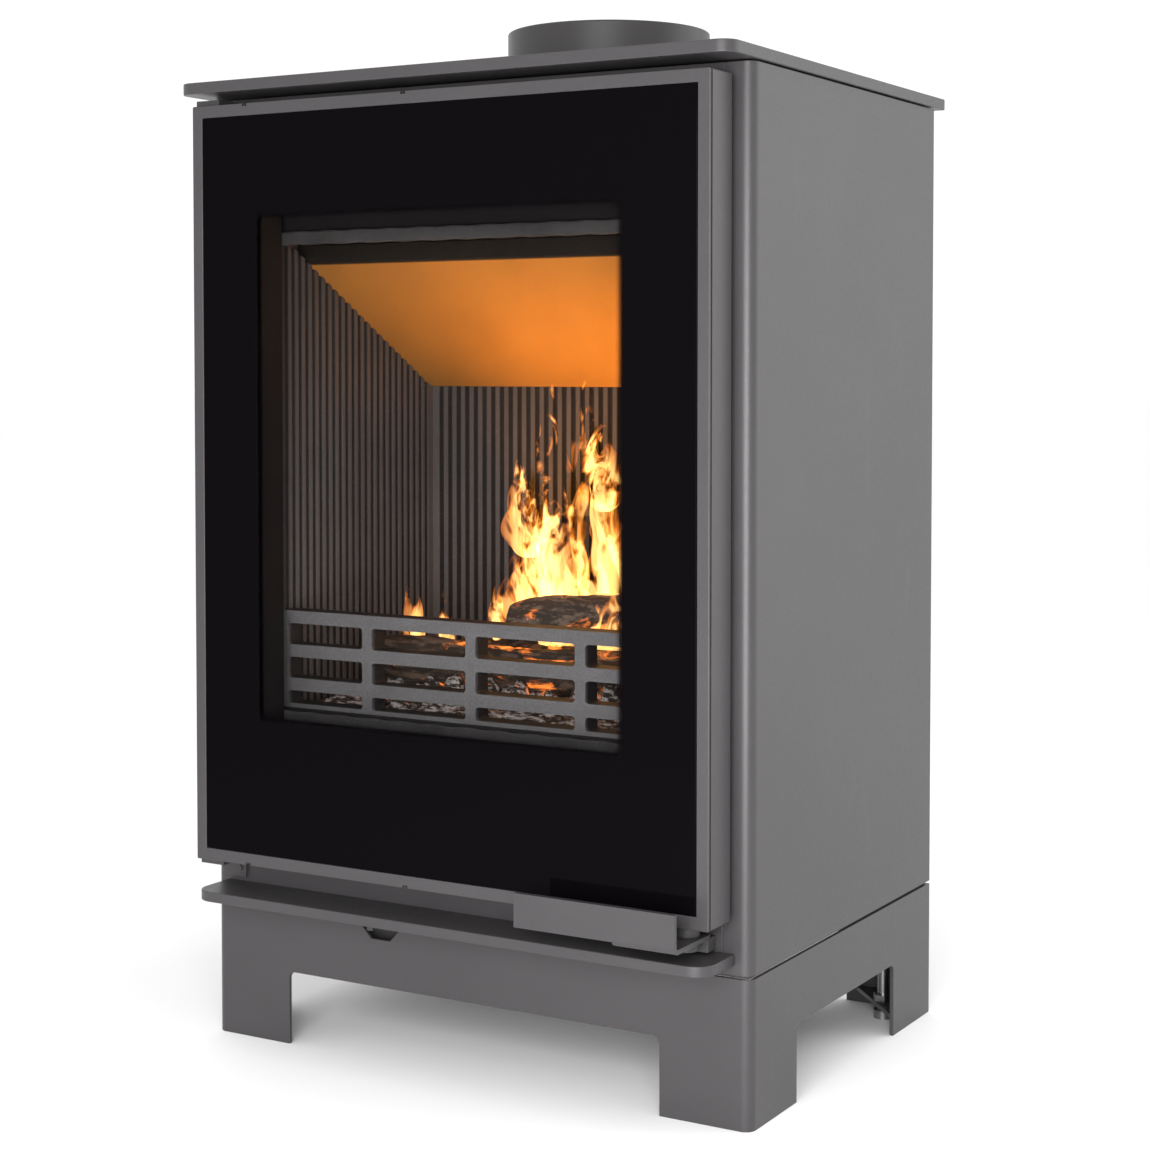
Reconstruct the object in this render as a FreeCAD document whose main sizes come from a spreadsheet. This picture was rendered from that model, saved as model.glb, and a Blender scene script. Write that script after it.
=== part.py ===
"""Wood burning stove: steel casing on a plinth, lined firebox, glazed door and flue collar.

Row frame: X to the right, the door faces -Y, Z up, origin on the floor at the middle of the
overall box.  Every piece is drawn in a working frame whose Y is 0 at the casing's front face and
then set back by front_y.  All lengths are in millimetres.
"""
import FreeCAD, Part
import math
import os
import Sketcher

SIZES = {
    # casing and plinth
    "body_width": 430, "body_depth": 305, "body_height": 573.5,
    "casing_sheet": 2, "casing_radius": 7.5, "casing_wrap": 20, "rear_return": 34,
    "plinth_height": 97, "plinth_sheet": 3, "plinth_seam": 2, "plinth_inset": 3,
    "arch_height": 52, "arch_radius": 5, "front_leg": 65.5, "side_leg_front": 69, "side_leg_rear": 70,
    "gusset_width": 56, "gusset_depth": 62, "gusset_level": 10, "gusset_sheet": 3,
    "foot_inset_x": 24, "foot_inset_y": 31, "foot_radius": 7, "foot_height": 6, "foot_stud": 4,
    "foot_stud_length": 34, "foot_nut_width": 13, "foot_nut_height": 5,
    # top plate and flue collar
    "plate_seam": 1, "plate_thickness": 8, "plate_side": 2, "plate_rear": 17, "plate_radius": 11,
    "collar_diameter": 150, "collar_wall": 4, "collar_height": 48,
    "collar_flange": 9, "collar_flange_thickness": 4, "collar_bolt": 3.5, "collar_gap": 1,
    # front plate, firebox mouth and ash lip
    "front_plate_thickness": 5, "mouth_step": 5, "mouth_bottom": 238, "mouth_drop": 90,
    "mouth_rim": 5, "rim_proud": 3, "lip_gap": 6.5, "lip_thickness": 7.2, "lip_depth": 40,
    "lip_inset": 11.5, "lip_radius": 14,
    # firebox shell, lining and fittings
    "casing_gap": 44.5, "rear_gap": 27.5, "shell_thickness": 4, "roof_drop": 8.5, "smoke_gap": 5,
    "lining_thickness": 10, "lining_over": 25, "flute_pitch": 8, "flute_radius": 3.2, "flute_depth": 2.2,
    "hearth_level": 240, "hearth_thickness": 10, "fit_gap": 0.5,
    "grate_width": 160, "grate_setback": 50, "grate_rear_gap": 29, "grate_ledge": 8, "grate_slot": 7,
    "grate_margin": 10, "grate_bar": 8, "baffle_drop": 13, "baffle_rise": 90, "baffle_setback": 41.6,
    "baffle_thickness": 14, "air_hole": 2.5, "air_hole_ease": 1, "air_hole_drop": 79, "air_hole_inner": 22,
    "air_hole_outer": 94, "duct_depth": 68.5, "duct_inset": 10, "duct_sheet": 2,
    "retainer_setback": 7.5, "retainer_depth": 16, "retainer_height": 69.5, "retainer_bar": 9,
    "retainer_pitch": 24, "retainer_post": 8, "retainer_post_spacing": 86, "retainer_sill": 3,
    "retainer_end": 4, "retainer_corner": 2.5,
    # ash compartment and pan
    "ash_width": 230, "ash_floor": 136, "ash_rear_gap": 47.5, "ash_sheet": 3, "ash_mouth_top": 220,
    "pan_sheet": 1.5, "pan_gap": 5, "pan_height": 60, "pan_setback": 3, "pan_rear_gap": 19,
    "pan_grip_width": 70, "pan_grip_reach": 12, "pan_grip_sheet": 2, "pan_grip_height": 8,
    # door
    "door_inset": 12, "door_sill_gap": 21.7, "door_head_gap": 7.9, "door_thickness": 30, "door_gap": 6,
    "door_border": 8.5, "door_edge_radius": 1.2, "glass_thickness": 4, "glass_gap": 0.3,
    "gasket_thickness": 1, "gasket_width": 12, "web_thickness": 3, "window_inset": 17,
    "window_head": 21.5, "window_sill": 4.5, "window_wall": 4, "liner_thickness": 2.5,
    "seal_width": 10, "seal_gap": 0.4, "notch_width": 4, "notch_depth": 2,
    "notch_outer": 157, "notch_inner": 24, "groove_setback": 1.4, "groove_width": 2.2,
    "groove_depth": 1.8, "clip_width": 18, "clip_length": 22, "clip_sheet": 2, "clip_gap": 2,
    # hinges, handle and catch
    "hinge_inset": 7, "hinge_setback": 18, "hinge_pin": 4, "hinge_clearance": 0.08, "hinge_tab": 20,
    "hinge_tab_reach": 10, "hinge_sheet": 4, "hinge_foot": 3, "hinge_foot_height": 18, "hinge_gap": 0.8,
    "rivet_head": 1,
    "handle_reach": 60, "handle_sheet": 3, "handle_length": 115.5, "handle_inset": 11,
    "handle_lug": 44, "handle_height": 22.2, "handle_drop": 7.9, "handle_rear": 12, "handle_bend": 5,
    "pivot_inset": 12, "pivot_setback": 20, "pivot_pin": 4, "cam_radius": 8, "cam_offset": 1.5,
    "cam_thickness": 6, "keeper_width": 20, "keeper_gap": 2.6, "keeper_height": 9,
    # air control
    "recess_centre": 70, "recess_width": 40, "recess_floor_width": 16, "recess_height": 11.5,
    "lever_place": 77, "lever_width": 5, "lever_thickness": 3, "lever_reach": 3, "valve_width": 55.5,
    "valve_setback": 60, "valve_depth": 60, "inlet_width": 50, "inlet_depth": 40, "inlet_sheet": 2,
    "inlet_margin": 6, "guard_setback": 14, "guard_sheet": 2, "guard_width": 60, "guard_drop": 17,
    "guard_slot": 28, "guard_offset": 4,
    "valve_gap": 0.5, "strap_width": 6, "strap_sheet": 2, "strap_span": 112, "strap_inset": 4,
    # rear panel and small fasteners
    "vent_width": 60, "vent_height": 6, "vent_pitch": 16, "vent_drop": 112.5, "vent_spacing": 150,
    "vent_rows": 5, "rear_screw_inset": 21.5, "rear_screw_margin": 20, "screw_head": 4,
    "screw_head_height": 2.6, "screw_shank": 2, "screw_length": 9,
    # working gaps between neighbouring pieces
    "ground_gap": 0.3, "set_gap": 0.3, "edge_gap": 0.2, "rest_gap": 0.5, "press_gap": 0.02,
}
OVER = 1  # how far a cut runs past the face it opens


class Dim:
    """A length that knows both its value and the sheet expression it is bound to."""

    def __init__(self, value, text):
        self.value = float(value)
        self.text = text

    def __add__(self, other):
        return Dim(self.value + number(other), f"({self.text} + {words(other)})")

    def __sub__(self, other):
        return Dim(self.value - number(other), f"({self.text} - {words(other)})")

    def __mul__(self, other):
        return Dim(self.value * number(other), f"({self.text} * {words(other)})")

    def __truediv__(self, other):
        return Dim(self.value / number(other), f"({self.text} / {words(other)})")

    def __neg__(self):
        return Dim(-self.value, f"(0 - {self.text})")

    __radd__ = __add__
    __rmul__ = __mul__


def number(item):
    """The value of a Dim or of a plain number."""
    return item.value if isinstance(item, Dim) else float(item)


def words(item):
    """The expression of a Dim or of a plain number."""
    return item.text if isinstance(item, Dim) else repr(float(item))


def whole(item):
    """The whole part of a Dim, for counts."""
    return Dim(math.floor(item.value), f"floor({item.text})")


doc = FreeCAD.newDocument("wood_burning_stove")
sheet = doc.addObject("Spreadsheet::Sheet", "Sizes")
for row, (alias, size) in enumerate(SIZES.items(), start=1):
    sheet.set(f"A{row}", alias)
    sheet.set(f"B{row}", str(size))
    sheet.setAlias(f"B{row}", alias)
doc.recompute()
d = type("Driving", (), {alias: Dim(size, f"Sizes.{alias}") for alias, size in SIZES.items()})

# ---- values derived from the driving sizes ------------------------------------------------
zero = Dim(0, "0")
front_y = (d.handle_reach - d.body_depth - d.plate_rear) / 2
half_width = d.body_width / 2
body_bottom = d.plinth_height + d.plinth_seam
body_top = body_bottom + d.body_height
plate_bottom = body_top + d.plate_seam
plate_top = plate_bottom + d.plate_thickness
plate_front = -(d.door_gap + d.door_thickness)
lip_bottom = body_bottom + d.lip_gap
lip_top = lip_bottom + d.lip_thickness

half_shell = half_width - d.casing_gap
half_fire = half_shell - d.fit_gap - d.lining_thickness
mouth_half = half_fire + d.mouth_step
shell_back = d.body_depth - d.rear_gap
fire_depth = shell_back - d.duct_depth - d.lining_thickness
lining_back = fire_depth + d.lining_thickness
firebox_front = d.front_plate_thickness
roof_top = body_top - d.roof_drop
roof_bottom = roof_top - d.shell_thickness
floor_top = d.hearth_level - d.hearth_thickness
floor_bottom = floor_top - d.shell_thickness
mouth_top = roof_bottom - d.mouth_drop
baffle_front_level = mouth_top - d.baffle_drop
baffle_rear_level = baffle_front_level - d.baffle_rise
air_level = baffle_rear_level - d.air_hole_drop
half_duct = half_fire - d.duct_inset
baffle_slope = d.baffle_rise / (fire_depth - d.baffle_setback)
rear_lining_top = baffle_rear_level + d.lining_over
grate_back = fire_depth - d.grate_rear_gap
ash_back = shell_back - d.ash_rear_gap

collar_radius = d.collar_diameter / 2
collar_setback = shell_back - collar_radius - d.smoke_gap
collar_top = plate_top + d.collar_height

door_half = half_width - d.door_inset
door_bottom = lip_top + d.door_sill_gap
door_top = body_top - d.door_head_gap
door_back = -d.door_gap
door_front = plate_front
glass_back = door_front + d.glass_thickness
web_front = glass_back + d.gasket_thickness
web_back = web_front + d.web_thickness
liner_front = door_back - d.liner_thickness
pane_inset = d.door_border + d.glass_gap
window_half = mouth_half - d.window_inset
window_bottom = d.mouth_bottom - d.window_sill
window_top = mouth_top + d.window_head

hinge_x = d.hinge_inset - door_half
hinge_y = -d.hinge_setback
handle_right = door_half - d.handle_inset
lug_top = door_bottom - d.handle_drop
lug_bottom = lug_top - d.handle_sheet
handle_front = -d.handle_reach
pivot_x = handle_right - d.pivot_inset
pivot_y = -d.pivot_setback
valve_top = d.plinth_height - d.inlet_sheet - d.valve_gap
valve_bottom = valve_top - d.lever_thickness
lever_x = -d.lever_place

nodes = []
PLANES = {"XY": "XY_Plane", "XZ": "XZ_Plane", "YZ": "YZ_Plane"}


# ---- tools --------------------------------------------------------------------------------
def bind(item, path, size):
    """Bind one property to the sheet when its size is a Dim, or set it from a plain number."""
    item.setExpression(path, words(size))


def node(item, label):
    """Name an object as one of the stove's pieces."""
    item.Label = label
    nodes.append(item)
    return item


def new_body(label):
    """An empty body in the working frame, set back to the row frame."""
    body = doc.addObject("PartDesign::Body", label)
    bind(body, "Placement.Base.y", front_y)
    return node(body, label)


def rect(u0, u1, v0, v1):
    """Corner points of a rectangle."""
    return [(u0, v0), (u1, v0), (u1, v1), (u0, v1)]


def fix_point(sketch, geometry, point, u, v):
    """Bind both coordinates of one sketch point."""
    for kind, size in (("DistanceX", u), ("DistanceY", v)):
        index = sketch.addConstraint(Sketcher.Constraint(kind, geometry, point, number(size)))
        sketch.setExpression(f"Constraints[{index}]", words(size))


def draw_outline(sketch, points):
    """A closed outline of straight lines."""
    first = sketch.GeometryCount
    total = len(points)
    corners = [FreeCAD.Vector(number(u), number(v), 0) for u, v in points]
    lines = [Part.LineSegment(corners[i], corners[(i + 1) % total]) for i in range(total)]
    sketch.addGeometry(lines, False)
    for i in range(total):
        sketch.addConstraint(Sketcher.Constraint("Coincident", first + i, 2, first + (i + 1) % total, 1))
    for i, (u, v) in enumerate(points):
        fix_point(sketch, first + i, 1, u, v)


def draw_circle(sketch, centre_u, centre_v, radius):
    """A circle with bound centre and radius."""
    centre = FreeCAD.Vector(number(centre_u), number(centre_v), 0)
    index = sketch.addGeometry(Part.Circle(centre, FreeCAD.Vector(0, 0, 1), number(radius)), False)
    fix_point(sketch, index, 3, centre_u, centre_v)
    constraint = sketch.addConstraint(Sketcher.Constraint("Radius", index, number(radius)))
    sketch.setExpression(f"Constraints[{constraint}]", words(radius))


def sketch_on(body, plane, level, shapes):
    """A sketch on one of the body's own planes, moved to a level along the third axis."""
    sketch = body.newObject("Sketcher::SketchObject", body.Name + "_sketch")
    origin = [item for item in body.Origin.OriginFeatures if item.Role == PLANES[plane]][0]
    sketch.AttachmentSupport = [(origin, "")]
    sketch.MapMode = "FlatFace"
    bind(sketch, "AttachmentOffset.Base.z", -level if plane == "XZ" else level)
    for shape in shapes:
        if isinstance(shape, tuple):
            draw_circle(sketch, *shape)
        else:
            draw_outline(sketch, shape)
    return sketch


def add(body, plane, start, end, *shapes):
    """Pad outlines from start to end along the axis across the plane."""
    pad = body.newObject("PartDesign::Pad", body.Name + "_pad")
    pad.Profile = sketch_on(body, plane, start, shapes)
    bind(pad, "Length", end - start)
    pad.Reversed = plane == "XZ"
    doc.recompute()
    return pad


def cut(body, plane, start, end, *shapes):
    """Pocket outlines from start to end, and make sure that material went."""
    before = body.Tip.Shape.Volume
    pocket = body.newObject("PartDesign::Pocket", body.Name + "_pocket")
    pocket.Profile = sketch_on(body, plane, start, shapes)
    bind(pocket, "Length", end - start)
    pocket.Reversed = plane != "XZ"
    doc.recompute()
    if not body.Tip.Shape.Volume < before - 1e-3:
        raise RuntimeError(f"{body.Label}: a pocket removed nothing")
    return pocket


def repeat(body, feature, axis, step, count):
    """Repeat a feature along one of the body's axes."""
    pattern = body.newObject("PartDesign::LinearPattern", body.Name + "_pattern")
    pattern.Originals = [feature]
    line = [item for item in body.Origin.OriginFeatures if item.Role == axis + "_Axis"][0]
    pattern.Direction = (line, [""])
    bind(pattern, "Length", step * (count - 1))
    bind(pattern, "Occurrences", count)
    body.Tip = pattern
    doc.recompute()
    return pattern


def edge_names(shape, test):
    """Names of the edges whose box centre and direction pass a test."""
    names = []
    for index, edge in enumerate(shape.Edges, start=1):
        box = edge.BoundBox
        spread = (box.XLength, box.YLength, box.ZLength)
        if test(box.Center, spread):
            names.append(f"Edge{index}")
    return names


def round_edges(body, radius, test):
    """Fillet the edges that pass a test."""
    base = body.Tip
    names = edge_names(base.Shape, test)
    if not names:
        raise RuntimeError(f"{body.Label}: no edge to round")
    fillet = body.newObject("PartDesign::Fillet", body.Name + "_fillet")
    fillet.Base = (base, names)
    bind(fillet, "Radius", radius)
    body.Tip = fillet
    doc.recompute()


def upright(places):
    """Test for vertical edges that stand at the given x, y places."""
    spots = [(number(x), number(y)) for x, y in places]

    def test(centre, spread):
        vertical = spread[2] > 10 * max(spread[0], spread[1], 1e-4)
        return vertical and any(math.hypot(centre.x - x, centre.y - y) < 0.2 for x, y in spots)
    return test


def along_x(y, z):
    """Test for edges that run along X at a y, z place."""
    spot = (number(y), number(z))

    def test(centre, spread):
        return spread[0] > 1 and abs(centre.y - spot[0]) < 0.01 and abs(centre.z - spot[1]) < 0.01
    return test


def solid_box(x0, x1, y0, y1, z0, z1, name="block"):
    """A rectangular block between bound limits in the working frame."""
    block = doc.addObject("Part::Box", name)
    for path, size in (("Length", x1 - x0), ("Width", y1 - y0), ("Height", z1 - z0),
                       ("Placement.Base.x", x0), ("Placement.Base.y", y0 + front_y),
                       ("Placement.Base.z", z0)):
        bind(block, path, size)
    return block


TURNS = {"Y": FreeCAD.Rotation(FreeCAD.Vector(1, 0, 0), -90), "Z": FreeCAD.Rotation()}


def rod(axis, x, y, z, length, radius, name="rod"):
    """A cylinder that starts at a place and runs along +axis."""
    cylinder = doc.addObject("Part::Cylinder", name)
    cylinder.Placement = FreeCAD.Placement(FreeCAD.Vector(), TURNS[axis])
    for path, size in (("Radius", radius), ("Height", length), ("Placement.Base.x", x),
                       ("Placement.Base.y", y + front_y), ("Placement.Base.z", z)):
        bind(cylinder, path, size)
    return cylinder


def carve(base, tools, name="carved"):
    """Cut several tools out of a base."""
    bundle = doc.addObject("Part::Compound", name + "_tools")
    bundle.Links = tools
    result = doc.addObject("Part::Cut", name)
    result.Base = base
    result.Tool = bundle
    return result


def join(items, name="joined"):
    """Fuse several solids into one."""
    result = doc.addObject("Part::MultiFuse", name)
    result.Shapes = items
    return result


def group(label, items):
    """Several separate solids in one piece's file."""
    bundle = doc.addObject("Part::Compound", label)
    bundle.Links = items
    return node(bundle, label)


def screw(x, y, z):
    """A pan-head screw driven forwards into the casing, its head seated at the place."""
    shank = rod("Y", x, y - d.screw_length, z, d.screw_length, d.screw_shank, "shank")
    head = rod("Y", x, y, z, d.screw_head_height, d.screw_head, "head")
    return join([shank, head], "screw")


def each_side():
    """The two mirrored sides: name and sign of x."""
    return (("left", -1), ("right", 1))


def span(sign, inner, outer):
    """Limits in x of something between two distances from the middle, on one side."""
    return (inner, outer) if sign > 0 else (-outer, -inner)


# ---- plinth -------------------------------------------------------------------------------
def make_base_frame():
    """Plinth of bent sheet with an arch on each face and a finger recess for the air lever."""
    body = new_body("base_frame")
    inner = half_width - d.plinth_sheet
    add(body, "XY", zero, d.plinth_height,
        rect(-half_width, half_width, zero, d.body_depth),
        rect(-inner, inner, d.plinth_sheet, d.body_depth - d.plinth_sheet))
    round_edges(body, d.casing_radius, upright([(-half_width, 0), (half_width, 0)]))
    arch = half_width - d.front_leg
    low = zero - OVER
    cut(body, "XZ", low, d.body_depth + OVER, rect(-arch, arch, low, d.arch_height))
    cut(body, "YZ", -half_width - OVER, half_width + OVER,
        rect(d.side_leg_front, d.body_depth - d.side_leg_rear, low, d.arch_height))
    arch_level = number(d.arch_height)
    round_edges(body, d.arch_radius,
                lambda centre, spread: abs(centre.z - arch_level) < 0.1 and spread[2] < 0.01
                and abs(max(spread) - number(d.plinth_sheet)) < 0.01)
    top = d.plinth_height
    wide = d.recess_width / 2
    narrow = d.recess_floor_width / 2
    middle, floor = -d.recess_centre, top - d.recess_height
    cut(body, "XZ", low, d.plinth_sheet + OVER,
        [(middle - narrow, floor), (middle + narrow, floor),
         (middle + wide, top + OVER), (middle - wide, top + OVER)])


def foot_places():
    """Names and places of the four levelling feet."""
    x = half_width - d.foot_inset_x
    rows = (("front", d.foot_inset_y), ("rear", d.body_depth - d.foot_inset_y))
    return [(f"{row}_{side}", x * sign, y) for row, y in rows for side, sign in each_side()]


def make_gussets():
    """Four triangular corner plates that carry the levelling feet."""
    plates = []
    inner = half_width - d.plinth_sheet
    for name, x, y in foot_places():
        sign = 1 if number(x) > 0 else -1
        rear = "rear" in name
        back = d.body_depth - d.plinth_sheet if rear else d.plinth_sheet
        away = back - d.gusset_depth if rear else back + d.gusset_depth
        plate = doc.addObject("PartDesign::Body", "gusset")
        bind(plate, "Placement.Base.y", front_y)
        points = [(inner * sign, away), ((inner - d.gusset_width) * sign, back), (inner * sign, back)]
        add(plate, "XY", d.gusset_level, d.gusset_level + d.gusset_sheet, points,
            (x, y, d.foot_stud + d.set_gap))
        plates.append(plate)
    group("corner_gussets", plates)


def make_feet():
    """Levelling feet: a disc on a threaded stud, with a locking nut on the gusset."""
    nuts = []
    nut_bottom = d.gusset_level + d.gusset_sheet
    for name, x, y in foot_places():
        disc = rod("Z", x, y, d.ground_gap, d.foot_height, d.foot_radius, "foot_disc")
        stud = rod("Z", x, y, d.foot_height, d.foot_stud_length, d.foot_stud, "foot_stud")
        node(join([disc, stud], "levelling_foot"), f"levelling_foot_{name}")
        nut = doc.addObject("Part::Prism", "nut")
        nut.Polygon = 6
        for path, size in (("Circumradius", d.foot_nut_width / math.sqrt(3)), ("Height", d.foot_nut_height),
                           ("Placement.Base.x", x), ("Placement.Base.y", y + front_y),
                           ("Placement.Base.z", nut_bottom)):
            bind(nut, path, size)
        bore = rod("Z", x, y, nut_bottom - OVER, d.foot_nut_height + 2 * OVER,
                   d.foot_stud + 5 * d.press_gap, "nut_bore")
        nuts.append(carve(nut, [bore], "foot_nut"))
    group("foot_lock_nuts", nuts)


def inlet_outline():
    """Rectangle of the room-air inlet, shared by the base plate and the inlet plate."""
    middle = lever_x - d.lever_width / 2
    start = d.valve_setback + (d.valve_depth - d.inlet_depth) / 2
    return rect(middle - d.inlet_width / 2, middle + d.inlet_width / 2, start, start + d.inlet_depth)


def make_base_plate():
    """Thin plate between plinth and casing, set in to leave the dark seam."""
    body = new_body("base_plate")
    edge = half_width - d.plinth_inset
    add(body, "XY", d.plinth_height, body_bottom,
        rect(-edge, edge, d.plinth_inset, d.body_depth - d.plinth_inset), inlet_outline())


# ---- casing -------------------------------------------------------------------------------
def make_side_panels():
    """Outer side sheets, wrapped round the front corners and turned in behind the rear panel."""
    for side, sign in each_side():
        body = new_body(f"side_panel_{side}")
        outer, inner = half_width * sign, (half_width - d.casing_sheet) * sign
        wrap = (half_width - d.casing_wrap) * sign
        tail = (half_width - d.rear_return) * sign
        seat = d.body_depth - d.casing_sheet
        add(body, "XY", body_bottom, body_top,
            [(outer, zero), (outer, d.body_depth), (inner, d.body_depth), (inner, seat), (tail, seat),
             (tail, seat - d.casing_sheet), (inner, seat - d.casing_sheet), (inner, d.casing_sheet),
             (wrap, d.casing_sheet), (wrap, zero)])
        round_edges(body, d.casing_radius, upright([(outer, 0)]))
        round_edges(body, d.casing_radius - d.casing_sheet, upright([(inner, d.casing_sheet)]))


def make_rear_panel():
    """Rear heat shield with two columns of vent slots."""
    body = new_body("rear_panel")
    edge = half_width - d.casing_sheet
    back = d.body_depth
    add(body, "XZ", back - d.casing_sheet, back, rect(-edge, edge, body_bottom, body_top))
    for _, sign in each_side():
        middle = d.vent_spacing / 2 * sign
        low = body_top - d.vent_drop
        slot = cut(body, "XZ", back - d.casing_sheet - OVER, back + OVER,
                   rect(middle - d.vent_width / 2, middle + d.vent_width / 2, low, low + d.vent_height))
        repeat(body, slot, "Z", d.vent_pitch, d.vent_rows)


def make_rear_screws():
    """Screws that hold the heat shield to the casing's rear edge."""
    places = [((half_width - d.rear_screw_inset) * sign, level) for sign in (-1, 1)
              for level in (body_bottom + d.rear_screw_margin, (body_bottom + body_top) / 2,
                            body_top - d.rear_screw_margin)]
    group("rear_panel_screws", [screw(x, d.body_depth, z) for x, z in places])


def make_front_plate():
    """Heavy front plate with the firebox mouth and the ash opening."""
    body = new_body("front_plate")
    edge = half_width - d.casing_wrap - d.edge_gap
    half_ash = d.ash_width / 2
    add(body, "XZ", zero, d.front_plate_thickness,
        rect(-edge, edge, body_bottom, body_top),
        rect(-mouth_half, mouth_half, d.mouth_bottom, mouth_top),
        rect(-half_ash, half_ash, d.ash_floor + d.ash_sheet, d.ash_mouth_top))


def make_mouth_rim():
    """Raised rim round the firebox mouth that the door rope closes on."""
    body = new_body("mouth_rim")
    out = d.mouth_rim
    add(body, "XZ", -d.rim_proud, zero,
        rect(-mouth_half - out, mouth_half + out, d.mouth_bottom - out, mouth_top + out),
        rect(-mouth_half, mouth_half, d.mouth_bottom, mouth_top))


def make_top_plate():
    """Thick top plate that overhangs the door, with a hole for the collar."""
    body = new_body("top_plate")
    edge = half_width + d.plate_side
    back = d.body_depth + d.plate_rear
    add(body, "XY", plate_bottom, plate_top, rect(-edge, edge, plate_front, back),
        (zero, collar_setback, collar_radius + d.collar_gap))
    round_edges(body, d.plate_radius, upright([(-edge, plate_front), (edge, plate_front)]))


def make_flue_collar():
    """Cast flue spigot with a flange bolted to the firebox roof."""
    body = new_body("flue_collar")
    bore = collar_radius - d.collar_wall
    rim = collar_radius + d.collar_flange
    step = roof_top + d.collar_flange_thickness
    profile = [(bore, roof_top), (rim, roof_top), (rim, step), (collar_radius, step),
               (collar_radius, collar_top), (bore, collar_top)]
    turned = body.newObject("PartDesign::Revolution", "collar_turned")
    sketch = sketch_on(body, "XZ", collar_setback, [profile])
    turned.Profile = sketch
    turned.ReferenceAxis = (sketch, ["V_Axis"])
    turned.Angle = 360
    doc.recompute()


def make_collar_bolts():
    """Four bolt heads on the collar flange, clear of the pipe that slides over the collar."""
    reach = (collar_radius + d.collar_flange - d.collar_bolt - d.rest_gap) / math.sqrt(2)
    seat = roof_top + d.collar_flange_thickness
    bolts = [rod("Z", reach * x_sign, collar_setback + reach * y_sign, seat,
                 d.collar_bolt, d.collar_bolt, "bolt") for x_sign in (-1, 1) for y_sign in (-1, 1)]
    group("collar_bolts", bolts)


def make_ash_lip():
    """Ledge below the door with rounded front corners."""
    body = new_body("ash_lip")
    edge = half_width - d.lip_inset
    add(body, "XY", lip_bottom, lip_top, rect(-edge, edge, -d.lip_depth, zero))
    round_edges(body, d.lip_radius, upright([(-edge, -d.lip_depth), (edge, -d.lip_depth)]))


# ---- firebox ------------------------------------------------------------------------------
def make_firebox_shell():
    """Welded steel walls, floor and roof of the firebox."""
    back = shell_back + d.shell_thickness
    for side, sign in each_side():
        wall = solid_box(*span(sign, half_shell, half_shell + d.shell_thickness), firebox_front, back,
                         floor_bottom, roof_bottom, "shell_wall")
        node(wall, f"firebox_wall_{side}")
    node(solid_box(-half_shell, half_shell, shell_back, back, floor_bottom, roof_bottom, "shell_rear"),
         "firebox_wall_rear")
    roof = solid_box(-half_shell - d.shell_thickness, half_shell + d.shell_thickness, firebox_front, back,
                     roof_bottom, roof_top, "shell_roof")
    flue = rod("Z", zero, collar_setback, roof_bottom - OVER, d.shell_thickness + 2 * OVER,
               collar_radius - d.collar_wall, "flue_hole")
    node(carve(roof, [flue], "firebox_roof"), "firebox_roof")
    body = new_body("firebox_floor")
    ledge = d.grate_ledge
    add(body, "XY", floor_bottom, floor_top, rect(-half_shell, half_shell, firebox_front, shell_back),
        rect(-d.grate_width / 2 + ledge, d.grate_width / 2 - ledge, d.grate_setback + ledge,
             grate_back - ledge),
        rect(-half_duct + d.duct_sheet, half_duct - d.duct_sheet,
             lining_back + d.fit_gap + d.duct_sheet, shell_back - d.fit_gap - d.duct_sheet))


def flute_count(run):
    """How many flutes fit along a run."""
    return whole((run - d.flute_pitch / 2) / d.flute_pitch)


def make_side_linings():
    """Fluted side boards whose sloping tops carry the baffle."""
    start = firebox_front + d.set_gap
    top_front = baffle_rear_level + baffle_slope * (fire_depth - start)
    for side, sign in each_side():
        body = new_body(f"lining_{side}")
        low, high = span(sign, half_fire, half_fire + d.lining_thickness)
        add(body, "YZ", low, high,
            [(start, floor_top), (fire_depth, floor_top), (fire_depth, baffle_rear_level),
             (start, top_front)])
        axis_x = (half_fire + d.flute_depth - d.flute_radius) * sign
        flute = cut(body, "XY", floor_top + d.hearth_thickness, top_front + OVER,
                    (axis_x, start + d.flute_pitch, d.flute_radius))
        repeat(body, flute, "Y", d.flute_pitch, flute_count(fire_depth - start))


def make_rear_lining():
    """Fluted rear board with a row of air holes."""
    body = new_body("lining_rear")
    edge = half_fire + d.lining_thickness
    face = fire_depth + d.set_gap
    top = rear_lining_top
    add(body, "XZ", face, lining_back, rect(-edge, edge, floor_top, top))
    count = flute_count(half_fire * 2)
    first = -(d.flute_pitch * (count - 1)) / 2
    flute = cut(body, "XY", floor_top + d.hearth_thickness, top + OVER,
                (first, face - (d.flute_radius - d.flute_depth), d.flute_radius))
    repeat(body, flute, "X", d.flute_pitch, count)
    holes = [(x * sign, air_level, d.air_hole)
             for sign in (-1, 1) for x in (d.air_hole_inner, d.air_hole_outer)]
    cut(body, "XZ", face - OVER, lining_back + OVER, *holes)


def make_air_manifold():
    """Sheet duct behind the rear lining that feeds its air holes from below."""
    half, wall = half_duct, d.duct_sheet
    y0, y1 = lining_back + d.fit_gap, shell_back - d.fit_gap
    top = rear_lining_top
    outer = solid_box(-half, half, y0, y1, floor_top, top, "duct_outer")
    tools = [solid_box(-half + wall, half - wall, y0 + wall, y1 - wall, floor_top - OVER, top - wall,
                       "duct_inner")]
    for sign in (-1, 1):
        for x in (d.air_hole_inner, d.air_hole_outer):
            tools.append(rod("Y", x * sign, y0 - OVER, air_level, wall + 2 * OVER,
                             d.air_hole + d.air_hole_ease, "duct_hole"))
    node(carve(outer, tools, "air_manifold"), "air_manifold")


def grate_outline(gap):
    """Rectangle of the grate, grown by a gap."""
    half = d.grate_width / 2 + gap
    return rect(-half, half, d.grate_setback - gap, grate_back + gap)


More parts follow.
